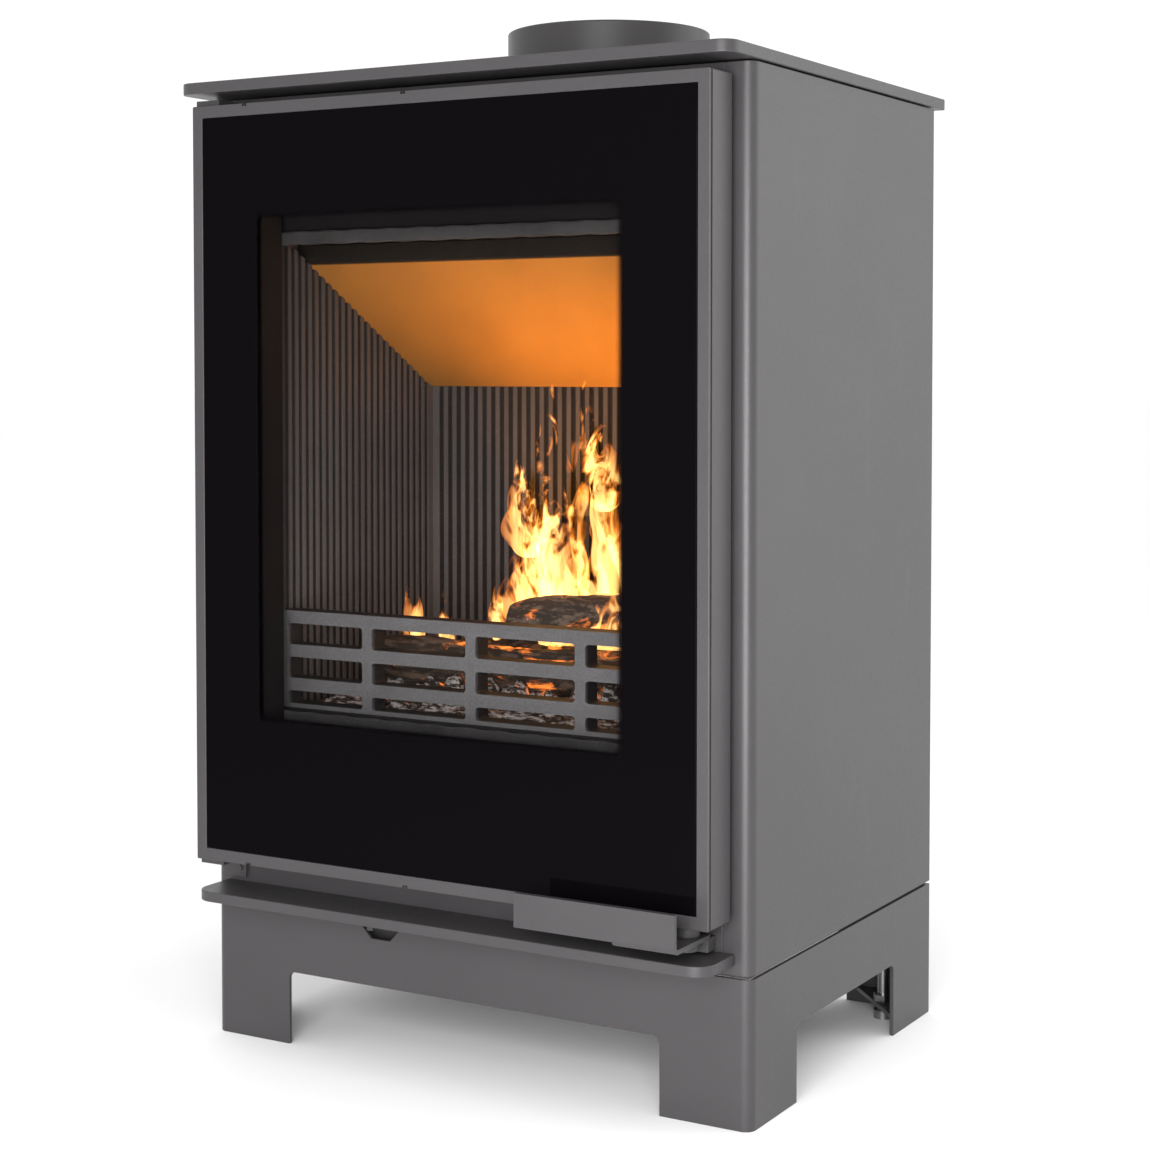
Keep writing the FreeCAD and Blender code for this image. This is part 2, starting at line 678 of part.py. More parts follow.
def make_hearth_plate():
    """Hearth board with the opening that the grate drops into."""
    body = new_body("hearth_plate")
    edge = half_fire - d.fit_gap
    add(body, "XY", floor_top, d.hearth_level,
        rect(-edge, edge, firebox_front + d.set_gap, fire_depth - d.edge_gap), grate_outline(d.fit_gap))


def make_grate():
    """Cast grate with two rows of slots."""
    body = new_body("fire_grate")
    add(body, "XY", floor_top, d.hearth_level, grate_outline(zero))
    pitch = d.grate_slot + d.grate_bar
    count = whole((d.grate_width - 2 * d.grate_ledge) / pitch)
    first = -(pitch * (count - 1)) / 2
    middle = (d.grate_setback + grate_back) / 2
    slot_end = (grate_back - d.grate_setback) / 2 - d.grate_margin
    for sign in (-1, 1):
        low, high = span(sign, d.grate_bar / 2, slot_end)
        slot = cut(body, "XY", floor_top - OVER, d.hearth_level + OVER,
                   rect(first - d.grate_slot / 2, first + d.grate_slot / 2, middle + low, middle + high))
        repeat(body, slot, "X", pitch, count)


def make_log_retainer():
    """Cast log guard that stands on the hearth inside the mouth."""
    body = new_body("log_retainer")
    edge = half_fire - d.fit_gap * 2
    bottom = d.hearth_level + d.set_gap
    top = d.hearth_level + d.retainer_height
    back = d.retainer_setback + d.retainer_depth
    post = d.retainer_post / 2
    columns = [(-edge + d.retainer_end, -d.retainer_post_spacing - post),
               (-d.retainer_post_spacing + post, -post),
               (post, d.retainer_post_spacing - post),
               (d.retainer_post_spacing + post, edge - d.retainer_end)]
    rows = [(bottom + d.retainer_sill, top - 2 * d.retainer_pitch - d.retainer_bar),
            (top - 2 * d.retainer_pitch, top - d.retainer_pitch - d.retainer_bar),
            (top - d.retainer_pitch, top - d.retainer_bar)]
    add(body, "XZ", d.retainer_setback, back, rect(-edge, edge, bottom, top))
    for low, high in rows:
        cut(body, "XZ", d.retainer_setback - OVER, back + OVER,
            *[rect(x0, x1, low, high) for x0, x1 in columns])
    floor, ceiling, side = number(bottom) + 1, number(top) - 1, number(edge) - 1
    round_edges(body, d.retainer_corner,
                lambda centre, spread: spread[1] > 5 and floor < centre.z < ceiling and abs(centre.x) < side)


def make_baffle():
    """Throat board that lies on the sloping linings and sends the smoke forward."""
    body = new_body("baffle")
    edge = half_shell - d.fit_gap
    rear = fire_depth - d.edge_gap
    rear_level = baffle_rear_level + baffle_slope * (fire_depth - rear)
    add(body, "YZ", -edge, edge,
        [(rear, rear_level), (d.baffle_setback, baffle_front_level),
         (d.baffle_setback, baffle_front_level + d.baffle_thickness),
         (rear, rear_level + d.baffle_thickness)])


def make_ash_box():
    """Sheet trough under the firebox floor that holds the ash pan."""
    half = d.ash_width / 2
    outer = solid_box(-half - d.ash_sheet, half + d.ash_sheet, firebox_front, ash_back,
                      d.ash_floor, floor_bottom, "ash_outer")
    inner = solid_box(-half, half, firebox_front - OVER, ash_back - d.ash_sheet,
                      d.ash_floor + d.ash_sheet, floor_bottom + OVER, "ash_inner")
    node(carve(outer, [inner], "ash_box"), "ash_box")


def make_ash_pan():
    """Open sheet tray, and the loop that pulls it out."""
    half = d.ash_width / 2 - d.pan_gap
    bottom = d.ash_floor + d.ash_sheet + d.rest_gap
    front = firebox_front + d.pan_setback
    back = ash_back - d.ash_sheet - d.pan_rear_gap
    outer = solid_box(-half, half, front, back, bottom, bottom + d.pan_height, "pan_outer")
    inner = solid_box(-half + d.pan_sheet, half - d.pan_sheet, front + d.pan_sheet,
                      back - d.pan_sheet, bottom + d.pan_sheet, bottom + d.pan_height + OVER,
                      "pan_inner")
    node(carve(outer, [inner], "ash_pan"), "ash_pan")
    grip = new_body("ash_pan_grip")
    out, inn = d.pan_grip_width / 2, d.pan_grip_width / 2 - d.pan_grip_sheet
    reach = front - d.pan_grip_reach
    low = bottom + d.pan_height / 2
    add(grip, "XY", low, low + d.pan_grip_height,
        [(-out, front), (-out, reach), (out, reach), (out, front), (inn, front),
         (inn, reach + d.pan_grip_sheet), (-inn, reach + d.pan_grip_sheet), (-inn, front)])


# ---- door ---------------------------------------------------------------------------------
def make_door_frame():
    """Deep door pan: glass recess in front, window opening, hollow behind."""
    body = new_body("door_frame")
    low, high = door_bottom, door_top
    border = d.door_border
    wall = d.window_wall
    add(body, "XZ", door_front, door_back, rect(-door_half, door_half, low, high))
    round_edges(body, d.door_edge_radius,
                lambda centre, spread: abs(centre.y - number(door_front)) < 0.01 and spread[1] < 0.01)
    cut(body, "XZ", door_front - OVER, web_front,
        rect(-door_half + border, door_half - border, low + border, high - border))
    cut(body, "XZ", door_front, door_back + OVER, rect(-window_half, window_half, window_bottom, window_top))
    cut(body, "XZ", web_back, door_back + OVER,
        rect(-door_half + border, door_half - border, low + border, high - border),
        rect(-window_half - wall, window_half + wall, window_bottom - wall, window_top + wall))
    groove = door_front + d.groove_setback
    inset = d.groove_depth
    cut(body, "XZ", groove, groove + d.groove_width,
        rect(-door_half - OVER, door_half + OVER, low - OVER, high + OVER),
        rect(-door_half + inset, door_half - inset, low + inset, high - inset))
    notch = d.notch_width / 2
    for x in (-d.notch_outer, -d.notch_inner):
        cut(body, "XZ", door_front - OVER, glass_back,
            rect(x - notch, x + notch, high - d.notch_depth, high + OVER),
            rect(x - notch, x + notch, low - OVER, low + d.notch_depth))
    pin_bore = (hinge_x, hinge_y, d.hinge_pin + d.press_gap)
    cut(body, "XY", high - border - OVER, high + OVER, pin_bore)
    cut(body, "XY", low - OVER, low + border + OVER, pin_bore,
        (pivot_x, pivot_y, d.pivot_pin + d.hinge_clearance))


def make_door_liner():
    """Inner sheet that closes the back of the door round the window."""
    body = new_body("door_liner")
    edge = door_half - pane_inset
    wall = d.window_wall + d.glass_gap
    add(body, "XZ", liner_front, door_back,
        rect(-edge, edge, door_bottom + pane_inset, door_top - pane_inset),
        rect(-window_half - wall, window_half + wall, window_bottom - wall, window_top + wall))


def make_door_glass():
    """Ceramic glass pane, flush with the door's front."""
    edge = door_half - pane_inset
    node(solid_box(-edge, edge, door_front, glass_back, door_bottom + pane_inset, door_top - pane_inset,
                   "pane"), "door_glass")


def make_glass_gasket():
    """Flat tape between the glass and the door web."""
    body = new_body("glass_gasket")
    out = d.gasket_width
    add(body, "XZ", glass_back, web_front,
        rect(-window_half - out, window_half + out, window_bottom - out, window_top + out),
        rect(-window_half, window_half, window_bottom, window_top))


def make_door_seal():
    """Rope seal on the liner, facing the rim of the firebox mouth."""
    body = new_body("door_seal")
    middle = mouth_half + d.mouth_rim / 2
    half = d.seal_width / 2
    low, high = d.mouth_bottom - d.mouth_rim / 2, mouth_top + d.mouth_rim / 2
    add(body, "XZ", door_back, -d.rim_proud - d.seal_gap,
        rect(-middle - half, middle + half, low - half, high + half),
        rect(-middle + half, middle - half, low + half, high - half))


def clip_places():
    """Where the glass clips stand on the back of the web, beside the window opening."""
    x = window_half + d.window_wall + d.clip_length / 2 + d.clip_gap
    middle = (window_bottom + window_top) / 2
    step = (window_top - window_bottom) / 3
    return [(x * sign, middle + rise) for sign in (-1, 1) for rise in (-step, zero, step)]


def make_glass_clips():
    """Clips that hold the pane through the web, with their screws."""
    clips, screws = [], []
    for x, z in clip_places():
        clips.append(solid_box(x - d.clip_length / 2, x + d.clip_length / 2, web_back,
                               web_back + d.clip_sheet, z - d.clip_width / 2, z + d.clip_width / 2, "clip"))
        screws.append(rod("Y", x, web_back + d.clip_sheet, z, d.screw_head_height, d.screw_head, "clip_screw"))
    group("glass_clips", clips)
    group("glass_clip_screws", screws)


# ---- hinges, handle and catch ---------------------------------------------------------------
def make_hinge(name, tab_low, pin_low, pin_high, foot_low, foot_high):
    """One hinge: a tab on a foot plate, and the pin that stands in the door."""
    left, right = hinge_x - d.hinge_tab / 2, hinge_x + d.hinge_tab / 2
    tab = solid_box(left, right, hinge_y - d.hinge_tab_reach, zero, tab_low,
                    tab_low + d.hinge_sheet, "hinge_tab")
    foot = solid_box(left, right, -d.hinge_foot, zero, foot_low, foot_high, "hinge_foot")
    bore = rod("Z", hinge_x, hinge_y, tab_low - OVER, d.hinge_sheet + 2 * OVER, d.hinge_pin + d.hinge_clearance,
               "hinge_bore")
    node(carve(join([tab, foot], "hinge_bracket"), [bore], "hinge_bracket"), f"hinge_bracket_{name}")
    node(rod("Z", hinge_x, hinge_y, pin_low, pin_high - pin_low, d.hinge_pin, "hinge_pin"),
         f"hinge_pin_{name}")


def make_hinges():
    """Upper and lower hinge at the door's left edge."""
    upper_tab = door_top + d.hinge_gap
    lower_tab = door_bottom - d.hinge_gap - d.hinge_sheet
    make_hinge("upper", upper_tab, door_top - d.door_border, upper_tab + d.hinge_sheet,
               upper_tab - d.hinge_foot_height, upper_tab + d.hinge_sheet)
    make_hinge("lower", lower_tab, lower_tab, door_bottom + d.door_border,
               lower_tab + d.hinge_sheet - d.hinge_foot_height, lower_tab + d.hinge_sheet)
    heights = (upper_tab - d.hinge_foot_height / 2, lower_tab - d.hinge_foot_height / 2 + d.hinge_sheet / 2)
    x = hinge_x + d.hinge_tab / 4
    rivets = [rod("Y", x, -d.hinge_foot - d.rivet_head, z, d.hinge_foot + d.rivet_head, d.screw_shank,
                  "hinge_rivet") for z in heights]
    group("hinge_rivets", rivets)


def make_handle():
    """Bent flat handle: a finger flange in front of the door on a lug that runs back under it."""
    body = new_body("handle_lever")
    left = handle_right - d.handle_length
    lug_left = handle_right - d.handle_lug
    inner = handle_front + d.handle_sheet
    top = lug_top + d.handle_height
    add(body, "YZ", lug_left, handle_right,
        [(handle_front, lug_bottom), (-d.handle_rear, lug_bottom), (-d.handle_rear, lug_top),
         (inner, lug_top), (inner, top), (handle_front, top)])
    for radius, y, z in ((d.handle_bend, handle_front, lug_bottom),
                         (d.handle_bend - d.handle_sheet, inner, lug_top)):
        round_edges(body, radius, along_x(y, z))
    add(body, "YZ", left, lug_left, rect(handle_front, inner, lug_top + d.edge_gap, top))
    cut(body, "XY", lug_bottom - OVER, lug_top + OVER, (pivot_x, pivot_y, d.pivot_pin + d.press_gap))


def make_handle_pivot():
    """Pivot pin, spacer and cam below the door's right corner."""
    pin_low = lug_bottom - d.cam_thickness
    pin_high = door_bottom + d.door_border
    node(rod("Z", pivot_x, pivot_y, pin_low, pin_high - pin_low, d.pivot_pin, "pivot_pin"), "handle_pivot_pin")
    spacer = rod("Z", pivot_x, pivot_y, lug_top, d.handle_drop - d.set_gap, d.pivot_pin * 2, "spacer")
    bore = rod("Z", pivot_x, pivot_y, lug_top - OVER, d.handle_drop + 2 * OVER, d.pivot_pin + d.press_gap,
               "bore")
    node(carve(spacer, [bore], "handle_spacer"), "handle_spacer")
    cam = rod("Z", pivot_x, pivot_y - d.cam_offset, pin_low, d.cam_thickness, d.cam_radius, "cam")
    bore = rod("Z", pivot_x, pivot_y, pin_low - OVER, d.cam_thickness + 2 * OVER, d.pivot_pin + d.press_gap,
               "bore")
    node(carve(cam, [bore], "handle_cam"), "handle_cam")


def make_keeper():
    """Keeper block on the front plate behind the cam."""
    reach = d.pivot_setback - d.cam_radius + d.cam_offset - d.keeper_gap
    top = lug_bottom - d.rest_gap
    low = top - d.keeper_height
    x0, x1 = pivot_x - d.keeper_width / 2, pivot_x + d.keeper_width / 2
    node(solid_box(x0, x1, -reach, zero, low, top, "keeper"), "latch_keeper")


# ---- air control ----------------------------------------------------------------------------
def make_air_control():
    """Sliding air valve with its lever, the inlet plate above it and two carrying straps."""
    inlet = new_body("air_inlet_plate")
    middle = lever_x - d.lever_width / 2
    half = d.strap_span / 2 + d.strap_width
    back = d.valve_setback + d.valve_depth
    add(inlet, "XY", d.plinth_height - d.inlet_sheet, d.plinth_height,
        rect(middle - half, middle + half, d.valve_setback - d.inlet_margin, back + d.inlet_margin),
        inlet_outline())
    lever = new_body("air_lever")
    left, right = lever_x - d.lever_width / 2, lever_x + d.lever_width / 2
    add(lever, "XY", valve_bottom, valve_top,
        [(left, -d.lever_reach), (right, -d.lever_reach), (right, back), (right - d.valve_width, back),
         (right - d.valve_width, d.valve_setback), (left, d.valve_setback)])
    straps = []
    low = valve_bottom - d.valve_gap - d.strap_sheet
    high = d.plinth_height - d.inlet_sheet
    for y in (d.valve_setback + d.strap_inset, back - d.strap_inset - d.strap_width):
        x0, x1 = middle - d.strap_span / 2, middle + d.strap_span / 2
        strip = solid_box(x0, x1, y, y + d.strap_width, low, low + d.strap_sheet, "strap")
        ends = [solid_box(x, x + d.strap_sheet, y, y + d.strap_width, low, high, "strap_end")
                for x in (x0, x1 - d.strap_sheet)]
        straps.append(join([strip] + ends, "strap"))
    group("air_slide_straps", straps)


def make_lever_guard():
    """Upright sheet that closes the finger recess from behind, slotted for the air lever."""
    body = new_body("lever_guard")
    middle = -d.recess_centre - d.guard_offset
    front, back = d.guard_setback, d.guard_setback + d.guard_sheet
    top = d.plinth_height
    add(body, "XZ", front, back,
        rect(middle - d.guard_width / 2, middle + d.guard_width / 2, top - d.guard_drop, top),
        rect(-d.recess_centre - d.guard_slot / 2, -d.recess_centre + d.guard_slot / 2,
             valve_bottom - d.valve_gap, valve_top + d.valve_gap))


def check_document():
    """Stop if any object failed or any piece has no valid solid."""
    doc.recompute()
    for item in doc.Objects:
        if "Invalid" in item.State or "Error" in item.State:
            raise RuntimeError(f"{item.Label} failed: {item.State}")
    for item in nodes:
        if item.Shape.isNull() or not item.Shape.isValid() or not item.Shape.Solids:
            raise RuntimeError(f"{item.Label} has no valid solid")


def write_pieces():
    """Write each piece to its own file."""
    os.makedirs("parts", exist_ok=True)
    for item in nodes:
        item.Shape.exportStep(f"parts/{item.Label}.step")
    print(len(nodes), "pieces written")


for make in (make_base_frame, make_gussets, make_feet, make_base_plate, make_side_panels, make_rear_panel,
             make_rear_screws, make_front_plate, make_mouth_rim, make_top_plate, make_flue_collar,
             make_collar_bolts, make_ash_lip, make_firebox_shell, make_side_linings, make_rear_lining,
             make_air_manifold, make_hearth_plate, make_grate, make_log_retainer, make_baffle, make_ash_box,
             make_ash_pan, make_door_frame, make_door_liner, make_door_glass, make_glass_gasket,
             make_door_seal, make_glass_clips, make_hinges, make_handle, make_handle_pivot, make_keeper,
             make_air_control, make_lever_guard):
    make()
check_document()
write_pieces()
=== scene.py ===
import math

import bmesh
import bpy
import numpy as np
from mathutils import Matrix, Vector


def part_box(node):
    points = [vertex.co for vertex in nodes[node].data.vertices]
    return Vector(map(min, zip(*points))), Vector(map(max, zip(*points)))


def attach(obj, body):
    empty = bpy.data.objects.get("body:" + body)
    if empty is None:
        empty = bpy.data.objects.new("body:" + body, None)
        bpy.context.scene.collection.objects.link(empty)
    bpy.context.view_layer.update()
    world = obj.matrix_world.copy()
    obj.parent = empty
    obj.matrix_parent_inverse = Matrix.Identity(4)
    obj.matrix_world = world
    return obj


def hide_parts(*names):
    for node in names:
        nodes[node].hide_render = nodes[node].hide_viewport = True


bl_info = {
    "name": "Wood Burning Stove",
    "version": (1, 0, 0),
    "blender": (4, 5, 0),
    "location": "3D View > Sidebar > Stove",
    "description": "Finished surfaces of a wood burning stove, built round its packed frame",
    "category": "Add Mesh",
}

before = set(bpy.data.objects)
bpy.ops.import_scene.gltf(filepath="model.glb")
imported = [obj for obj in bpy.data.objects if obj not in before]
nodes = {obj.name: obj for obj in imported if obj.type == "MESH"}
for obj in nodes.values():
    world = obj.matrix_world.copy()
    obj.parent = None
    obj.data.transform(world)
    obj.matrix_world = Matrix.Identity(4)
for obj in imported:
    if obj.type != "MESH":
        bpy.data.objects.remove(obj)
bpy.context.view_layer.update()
RIM_RUN = 0.004  # metres of flat face drawn beside a rim, so that its edges can be rounded
NOTCHES = (-0.157, -0.024)  # metres across, middles of the two notches in the door's long edges
FINE = 0.0004  # metres, rounding on small sheet edges
TINY = 0.0001  # metres, rounding inside narrow grooves
SQUARE = 1e-5  # metres, a corner that is meant to stay sharp
FLUTE_STOPS = (0.06, 0.14, 0.20, 0.25, 0.27, 0.29)  # shares of the pitch, points of a flute's section
FLUTE_HALF = 0.272  # half a flute's width as a share of the pitch
EMBER_BED = ((-0.145, -0.095), (0.150, 0.055))  # metres, lowest and highest x, y of the ember bed
EMBER_EDGE = 0.03  # metres over which the ember bed falls away at its rim
FLOOR_REACH = 30.0  # metres of floor to each side


# ---- sizes and colours --------------------------------------------------------------------
def length(name, text, default):
    """A length property in metres."""
    return bpy.props.FloatProperty(name=name, description=text, default=default, min=0.0,
                                   precision=5, subtype="DISTANCE", unit="LENGTH")


def colour(name, text, default):
    """A linear colour property."""
    return bpy.props.FloatVectorProperty(name=name, description=text, default=default, size=3,
                                         min=0.0, max=1.0, subtype="COLOR")


def plain(name, text, default, high=100.0):
    """A plain number property."""
    return bpy.props.FloatProperty(name=name, description=text, default=default, min=0.0, max=high)


class StoveSizes(bpy.types.PropertyGroup):
    """Sizes in metres of the softened edges, sheets, door, flutes, rope and printed border."""
    plate_edge: length("Plate edge", "Rounding on the rims of the top plate and the ash lip", 0.0007)
    plate_corner: length("Plate corner", "Radius of the top plate's front corners", 0.011)
    lip_corner: length("Lip corner", "Radius of the ash lip's front corners", 0.014)
    sheet_edge: length("Sheet edge", "Rounding on bent sheet edges", 0.0004)
    casting_edge: length("Casting edge", "Rounding on the log guard and the grate", 0.0012)
    collar_edge: length("Collar edge", "Rounding on the collar's open rim", 0.0012)
    collar_wall: length("Collar wall", "Thickness of the flue collar", 0.004)
    door_border: length("Door border", "Width of the painted border round the glass", 0.0085)
    door_edge: length("Door edge", "Rounding on the door's front edges", 0.0009)
    glass_edge: length("Glass edge", "Ground edge of the glass pane", 0.0005)
    window_left: length("Window left", "Clear glass to the left of the middle", 0.1475)
    window_right: length("Window right", "Clear glass to the right of the middle", 0.1435)
    window_low: length("Window low", "Lower edge of the clear glass above the floor", 0.2345)
    window_high: length("Window high", "Upper edge of the clear glass above the floor", 0.5905)
    window_fade: length("Window fade", "Width over which the printed border fades out", 0.010)
    # Reach and fade of the soot and painted shade round the fire's mouth: near-black that stands in for
    # soot and for the shade deep in that recess.
    soot_and_shade_margin: length("Soot margin", "Reach of the soot beyond the clear glass at the sides", 0.020)
    soot_and_shade_fade: length("Soot fade", "Width over which the soot fades out", 0.014)
    flute_pitch: length("Flute pitch", "Distance between two flutes of the lining", 0.008)
    flute_depth: length("Flute depth", "Depth of a flute", 0.0034)
    rope_lay: length("Rope lay", "Length of one twist of the rope seal", 0.026)
    plate_hole: length("Plate hole", "Radius of the collar hole in the top plate", 0.076)
    plate_rear_corner: length("Plate rear corner", "Radius of the top plate's rear corners", 0.0012)
    collar_radius: length("Collar radius", "Outer radius of the flue collar", 0.075)
    sheet: length("Sheet", "Thickness of the casing sheets", 0.002)
    fold: length("Fold", "Outer radius of the side sheets' front fold", 0.0075)
    wrap: length("Wrap", "How far a side sheet wraps round the front", 0.020)
    tail: length("Tail", "How far a side sheet wraps round the rear", 0.034)
    recess: length("Recess", "Depth of the recess that holds the glass", 0.005)
    web: length("Web", "Thickness of the door's web behind the glass", 0.003)
    opening_half: length("Opening half", "Half the width of the door's opening", 0.148)
    opening_low: length("Opening low", "Lower edge of the door's opening above the floor", 0.2335)
    opening_high: length("Opening high", "Upper edge of the door's opening above the floor", 0.5915)
    opening_wall: length("Opening wall", "Thickness of the wall round the door's opening", 0.004)
    groove_front: length("Groove front", "Door front to its side groove", 0.0014)
    groove_width: length("Groove width", "Width of the door's side groove", 0.0022)
    groove_depth: length("Groove depth", "Depth of the door's side groove", 0.0018)
    notch_half: length("Notch half", "Half the width of the door's edge notches", 0.002)
    notch_depth: length("Notch depth", "Depth of the door's edge notches", 0.002)
    glass_corner: length("Glass corner", "Radius of the glass pane's corners", 0.0015)
    rope_half: length("Rope half", "Half the width of the rope seal", 0.005)
    rope_corner: length("Rope corner", "Radius of the rope's path at its corners", 0.012)
    throat_board: length("Throat board", "Upright thickness of the throat board", 0.014)
    board_margin: length("Board margin", "Plain margin beside the rear lining's flutes", 0.010)
    board_edge: length("Board edge", "Rounding on the throat board", 0.0013)
    grate_edge: length("Grate edge", "Rounding on the grate and the hearth board", 0.0007)
    plate_step: length("Plate step", "Distance between points along the top plate's rim", 0.03)
    paint_grain: length("Paint grain", "Size of the grain in the paint", 0.0011)
    cast_grain: length("Cast grain", "Size of the grain on cast iron", 0.0016)


class StoveColours(bpy.types.PropertyGroup):
    """Linear colours of the finishes."""
    paint: colour("Paint", "Satin heat-resistant paint", (0.0345, 0.0320, 0.0340))
    paint_dust: colour("Paint dust", "Paint where it is dusty or rubbed", (0.0400, 0.0372, 0.0394))
    print_black: colour("Glass print", "Fired black border on the glass", (0.0018, 0.0014, 0.0018))
    # Soot and painted shade: near-black for the sheets round the fire's mouth, standing in for soot and for
    # the shade in that recess.
    soot_and_painted_shade: colour("Soot", "Sooted sheets round the fire's mouth", (0.0080, 0.0070, 0.0068))
    steel: colour("Black steel", "Inner steel sheets", (0.030, 0.029, 0.029))
    board: colour("Lining board", "Sooted lining boards", (0.084, 0.073, 0.069))
    # Painted firelight: the throat board's orange colour stands in for the fire's light on a pale board.
    board_painted_firelight: colour("Baffle board", "Scorched throat board", (0.17, 0.083, 0.015))
    ash: colour("Ash", "Pale ash on the ember bed", (0.55, 0.52, 0.50))
    iron: colour("Cast iron", "Painted cast iron", (0.072, 0.069, 0.071))
    rope: colour("Rope", "Black glass-fibre rope seal", (0.030, 0.0285, 0.028))
    zinc: colour("Zinc", "Plated ash pan and fasteners", (0.30, 0.30, 0.295))
    bark: colour("Bark", "Charred bark", (0.030, 0.020, 0.014))
    ember: colour("Ember", "Glowing wood", (1.0, 0.23, 0.03))
    flame_core: colour("Flame core", "Hottest part of a flame", (1.0, 0.56, 0.16))
    flame_edge: colour("Flame edge", "Cooler edge of a flame", (1.0, 0.24, 0.02))
    floor: colour("Floor", "Studio floor", (0.95, 0.95, 0.95))
    world: colour("Surround", "Light from the white studio walls", (1.0, 1.0, 1.0))


class StoveStudio(bpy.types.PropertyGroup):
    """Camera place and the strength of the lights."""
    distance_x: length("Camera right", "Camera to the right of the stove's middle", 0.80907)
    distance_y: length("Camera forward", "Camera in front of the stove's middle", 1.36138)
    camera_height: length("Camera height", "Camera above the floor", 0.48225)
    turn: plain("Turn", "Camera turned to the left, in degrees", 30.419, 360.0)
    tilt: plain("Tilt", "Camera tilted down, in degrees", 2.117, 90.0)
    lens: plain("Lens", "Focal length in millimetres on a 36 mm sensor", 68.572)
    drop: plain("Drop", "How far the frame is shifted down, as a share of its width", 0.11, 1.0)
    surround: plain("Surround", "Strength of the white surround", 1.06)
    side_light: plain("Side light", "Power of the soft light on the right, in watts", 13.0, 1000.0)
    front_light: plain("Front light", "Power of the soft light in front, in watts", 23.0, 1000.0)
    fire_light: plain("Fire light", "Power of the glow under the throat board, in watts", 1.3, 1000.0)


# ---- mesh tools ---------------------------------------------------------------------------
def quads(rows, cols, wrap_rows=False, wrap_cols=True):
    """Corner numbers of the cells of a grid of points, wrapped round either way where asked."""
    row = np.arange(rows if wrap_rows else rows - 1)[:, None]
    col = np.arange(cols if wrap_cols else cols - 1)[None, :]
    next_row, next_col = (row + 1) % rows, (col + 1) % cols
    four = (row * cols + col, row * cols + next_col, next_row * cols + next_col, next_row * cols + col)
    return np.stack(np.broadcast_arrays(*four), axis=-1).reshape(-1, 4)


def surface(name, rings, wrap_rows=False, wrap_cols=True, caps=False):
    """A mesh from rings of points, an array (rings, points, 3), with flat end caps where asked."""
    rows, cols = rings.shape[:2]
    faces = quads(rows, cols, wrap_rows, wrap_cols).tolist()
    if caps:
        faces.append(list(range(cols))[::-1])
        faces.append(list(range((rows - 1) * cols, rows * cols)))
    mesh = bpy.data.meshes.new(name)
    mesh.from_pydata(rings.reshape(-1, 3).tolist(), [], faces)
    return mesh


def close_up(mesh, reach=1e-6, flatten=False):
    """Merge points that coincide and turn the faces outwards."""
    shape = bmesh.new()
    shape.from_mesh(mesh)
    bmesh.ops.remove_doubles(shape, verts=shape.verts, dist=reach)
    if flatten:
        bmesh.ops.dissolve_limit(shape, angle_limit=math.radians(0.3), verts=shape.verts,
                                 edges=shape.edges)
    bmesh.ops.recalc_face_normals(shape, faces=shape.faces)
    shape.to_mesh(mesh)
    shape.free()
    return mesh


def soften(corners, radii, steps=4, closed=True):
    """An outline with its corners rounded.

    Each corner c becomes an exact circular arc from a to b, the points set back from it along its
    two sides: ((1-t)^2 a + 2wt(1-t) c + t^2 b) / ((1-t)^2 + 2wt(1-t) + t^2), where w is the sine of
    half the corner's angle.  A guard point beyond each end of the arc keeps the flats flat.
    """
    corner = np.asarray(corners, float)
    radii = np.broadcast_to(np.asarray(radii, float), len(corner))[:, None]
    before = np.roll(corner, 1, axis=0) - corner
    after = np.roll(corner, -1, axis=0) - corner
    run_before = np.linalg.norm(before, axis=1, keepdims=True)
    run_after = np.linalg.norm(after, axis=1, keepdims=True)
    before, after = before / run_before, after / run_after
    weight = np.sqrt((1 - (before * after).sum(axis=1)) / 2)[:, None, None]
    setback = np.minimum(radii, 0.42 * np.minimum(run_before, run_after))
    start, end = corner + before * setback, corner + after * setback
    t = np.linspace(0, 1, steps + 1)[None, :, None]
    share = 2 * weight * t * (1 - t)
    arc = (1 - t) ** 2 * start[:, None] + share * corner[:, None] + t ** 2 * end[:, None]
    arc = arc / ((1 - t) ** 2 + share + t ** 2)
    guard = setback * 0.15
    ends = [(start + before * guard)[:, None], arc, (end + after * guard)[:, None]]
    rounded = np.concatenate(ends, axis=1)
    if closed:
        return rounded.reshape(-1, 2)
    return np.concatenate([corner[:1], rounded[1:-1].reshape(-1, 2), corner[-1:]])


def divided(outline, step):
    """The closed outline with extra points along its long runs, about one step apart.

    Run i of length l gets n = max(1, int(l / step)) points at p + (j / n) * run, for j = 0 ... n - 1.
    """
    run = np.roll(outline, -1, axis=0) - outline
    count = np.maximum(1, (np.linalg.norm(run, axis=1) / step).astype(int))
    start = np.repeat(np.cumsum(count) - count, count)
    share = (np.arange(count.sum()) - start) / np.repeat(count, count)
    return np.repeat(outline, count, axis=0) + np.repeat(run, count, axis=0) * share[:, None]


def tagged(mesh, name, values):
    """Store one number per point on a mesh, for its material to read."""
    mesh.attributes.new(name, "FLOAT", "POINT").data.foreach_set("value", values.astype(np.float32))
    return mesh


def places(mesh):
    """The mesh's points as an array of x, y, z rows."""
    place = np.empty(len(mesh.vertices) * 3)
    mesh.vertices.foreach_get("co", place)
    return place.reshape(-1, 3)


def rim(low, high, edge, steps=3):
    """Section of a plate's rim as rows of depth and level, with both of its edges rounded."""
    return soften([(RIM_RUN, low), (0, low), (0, high), (RIM_RUN, high)], edge, steps, closed=False)[1:-1]


def carried(outline, section):
    """Rings of an anticlockwise outline: ring i = outline + depth i * inward normal, at level i."""
    along = np.roll(outline, -1, axis=0) - np.roll(outline, 1, axis=0)
    along = along / np.maximum(np.linalg.norm(along, axis=1, keepdims=True), 1e-9)
    inward = np.column_stack([-along[:, 1], along[:, 0]])
    return at_levels(outline[None] + section[:, 0, None, None] * inward[None], section[:, 1])


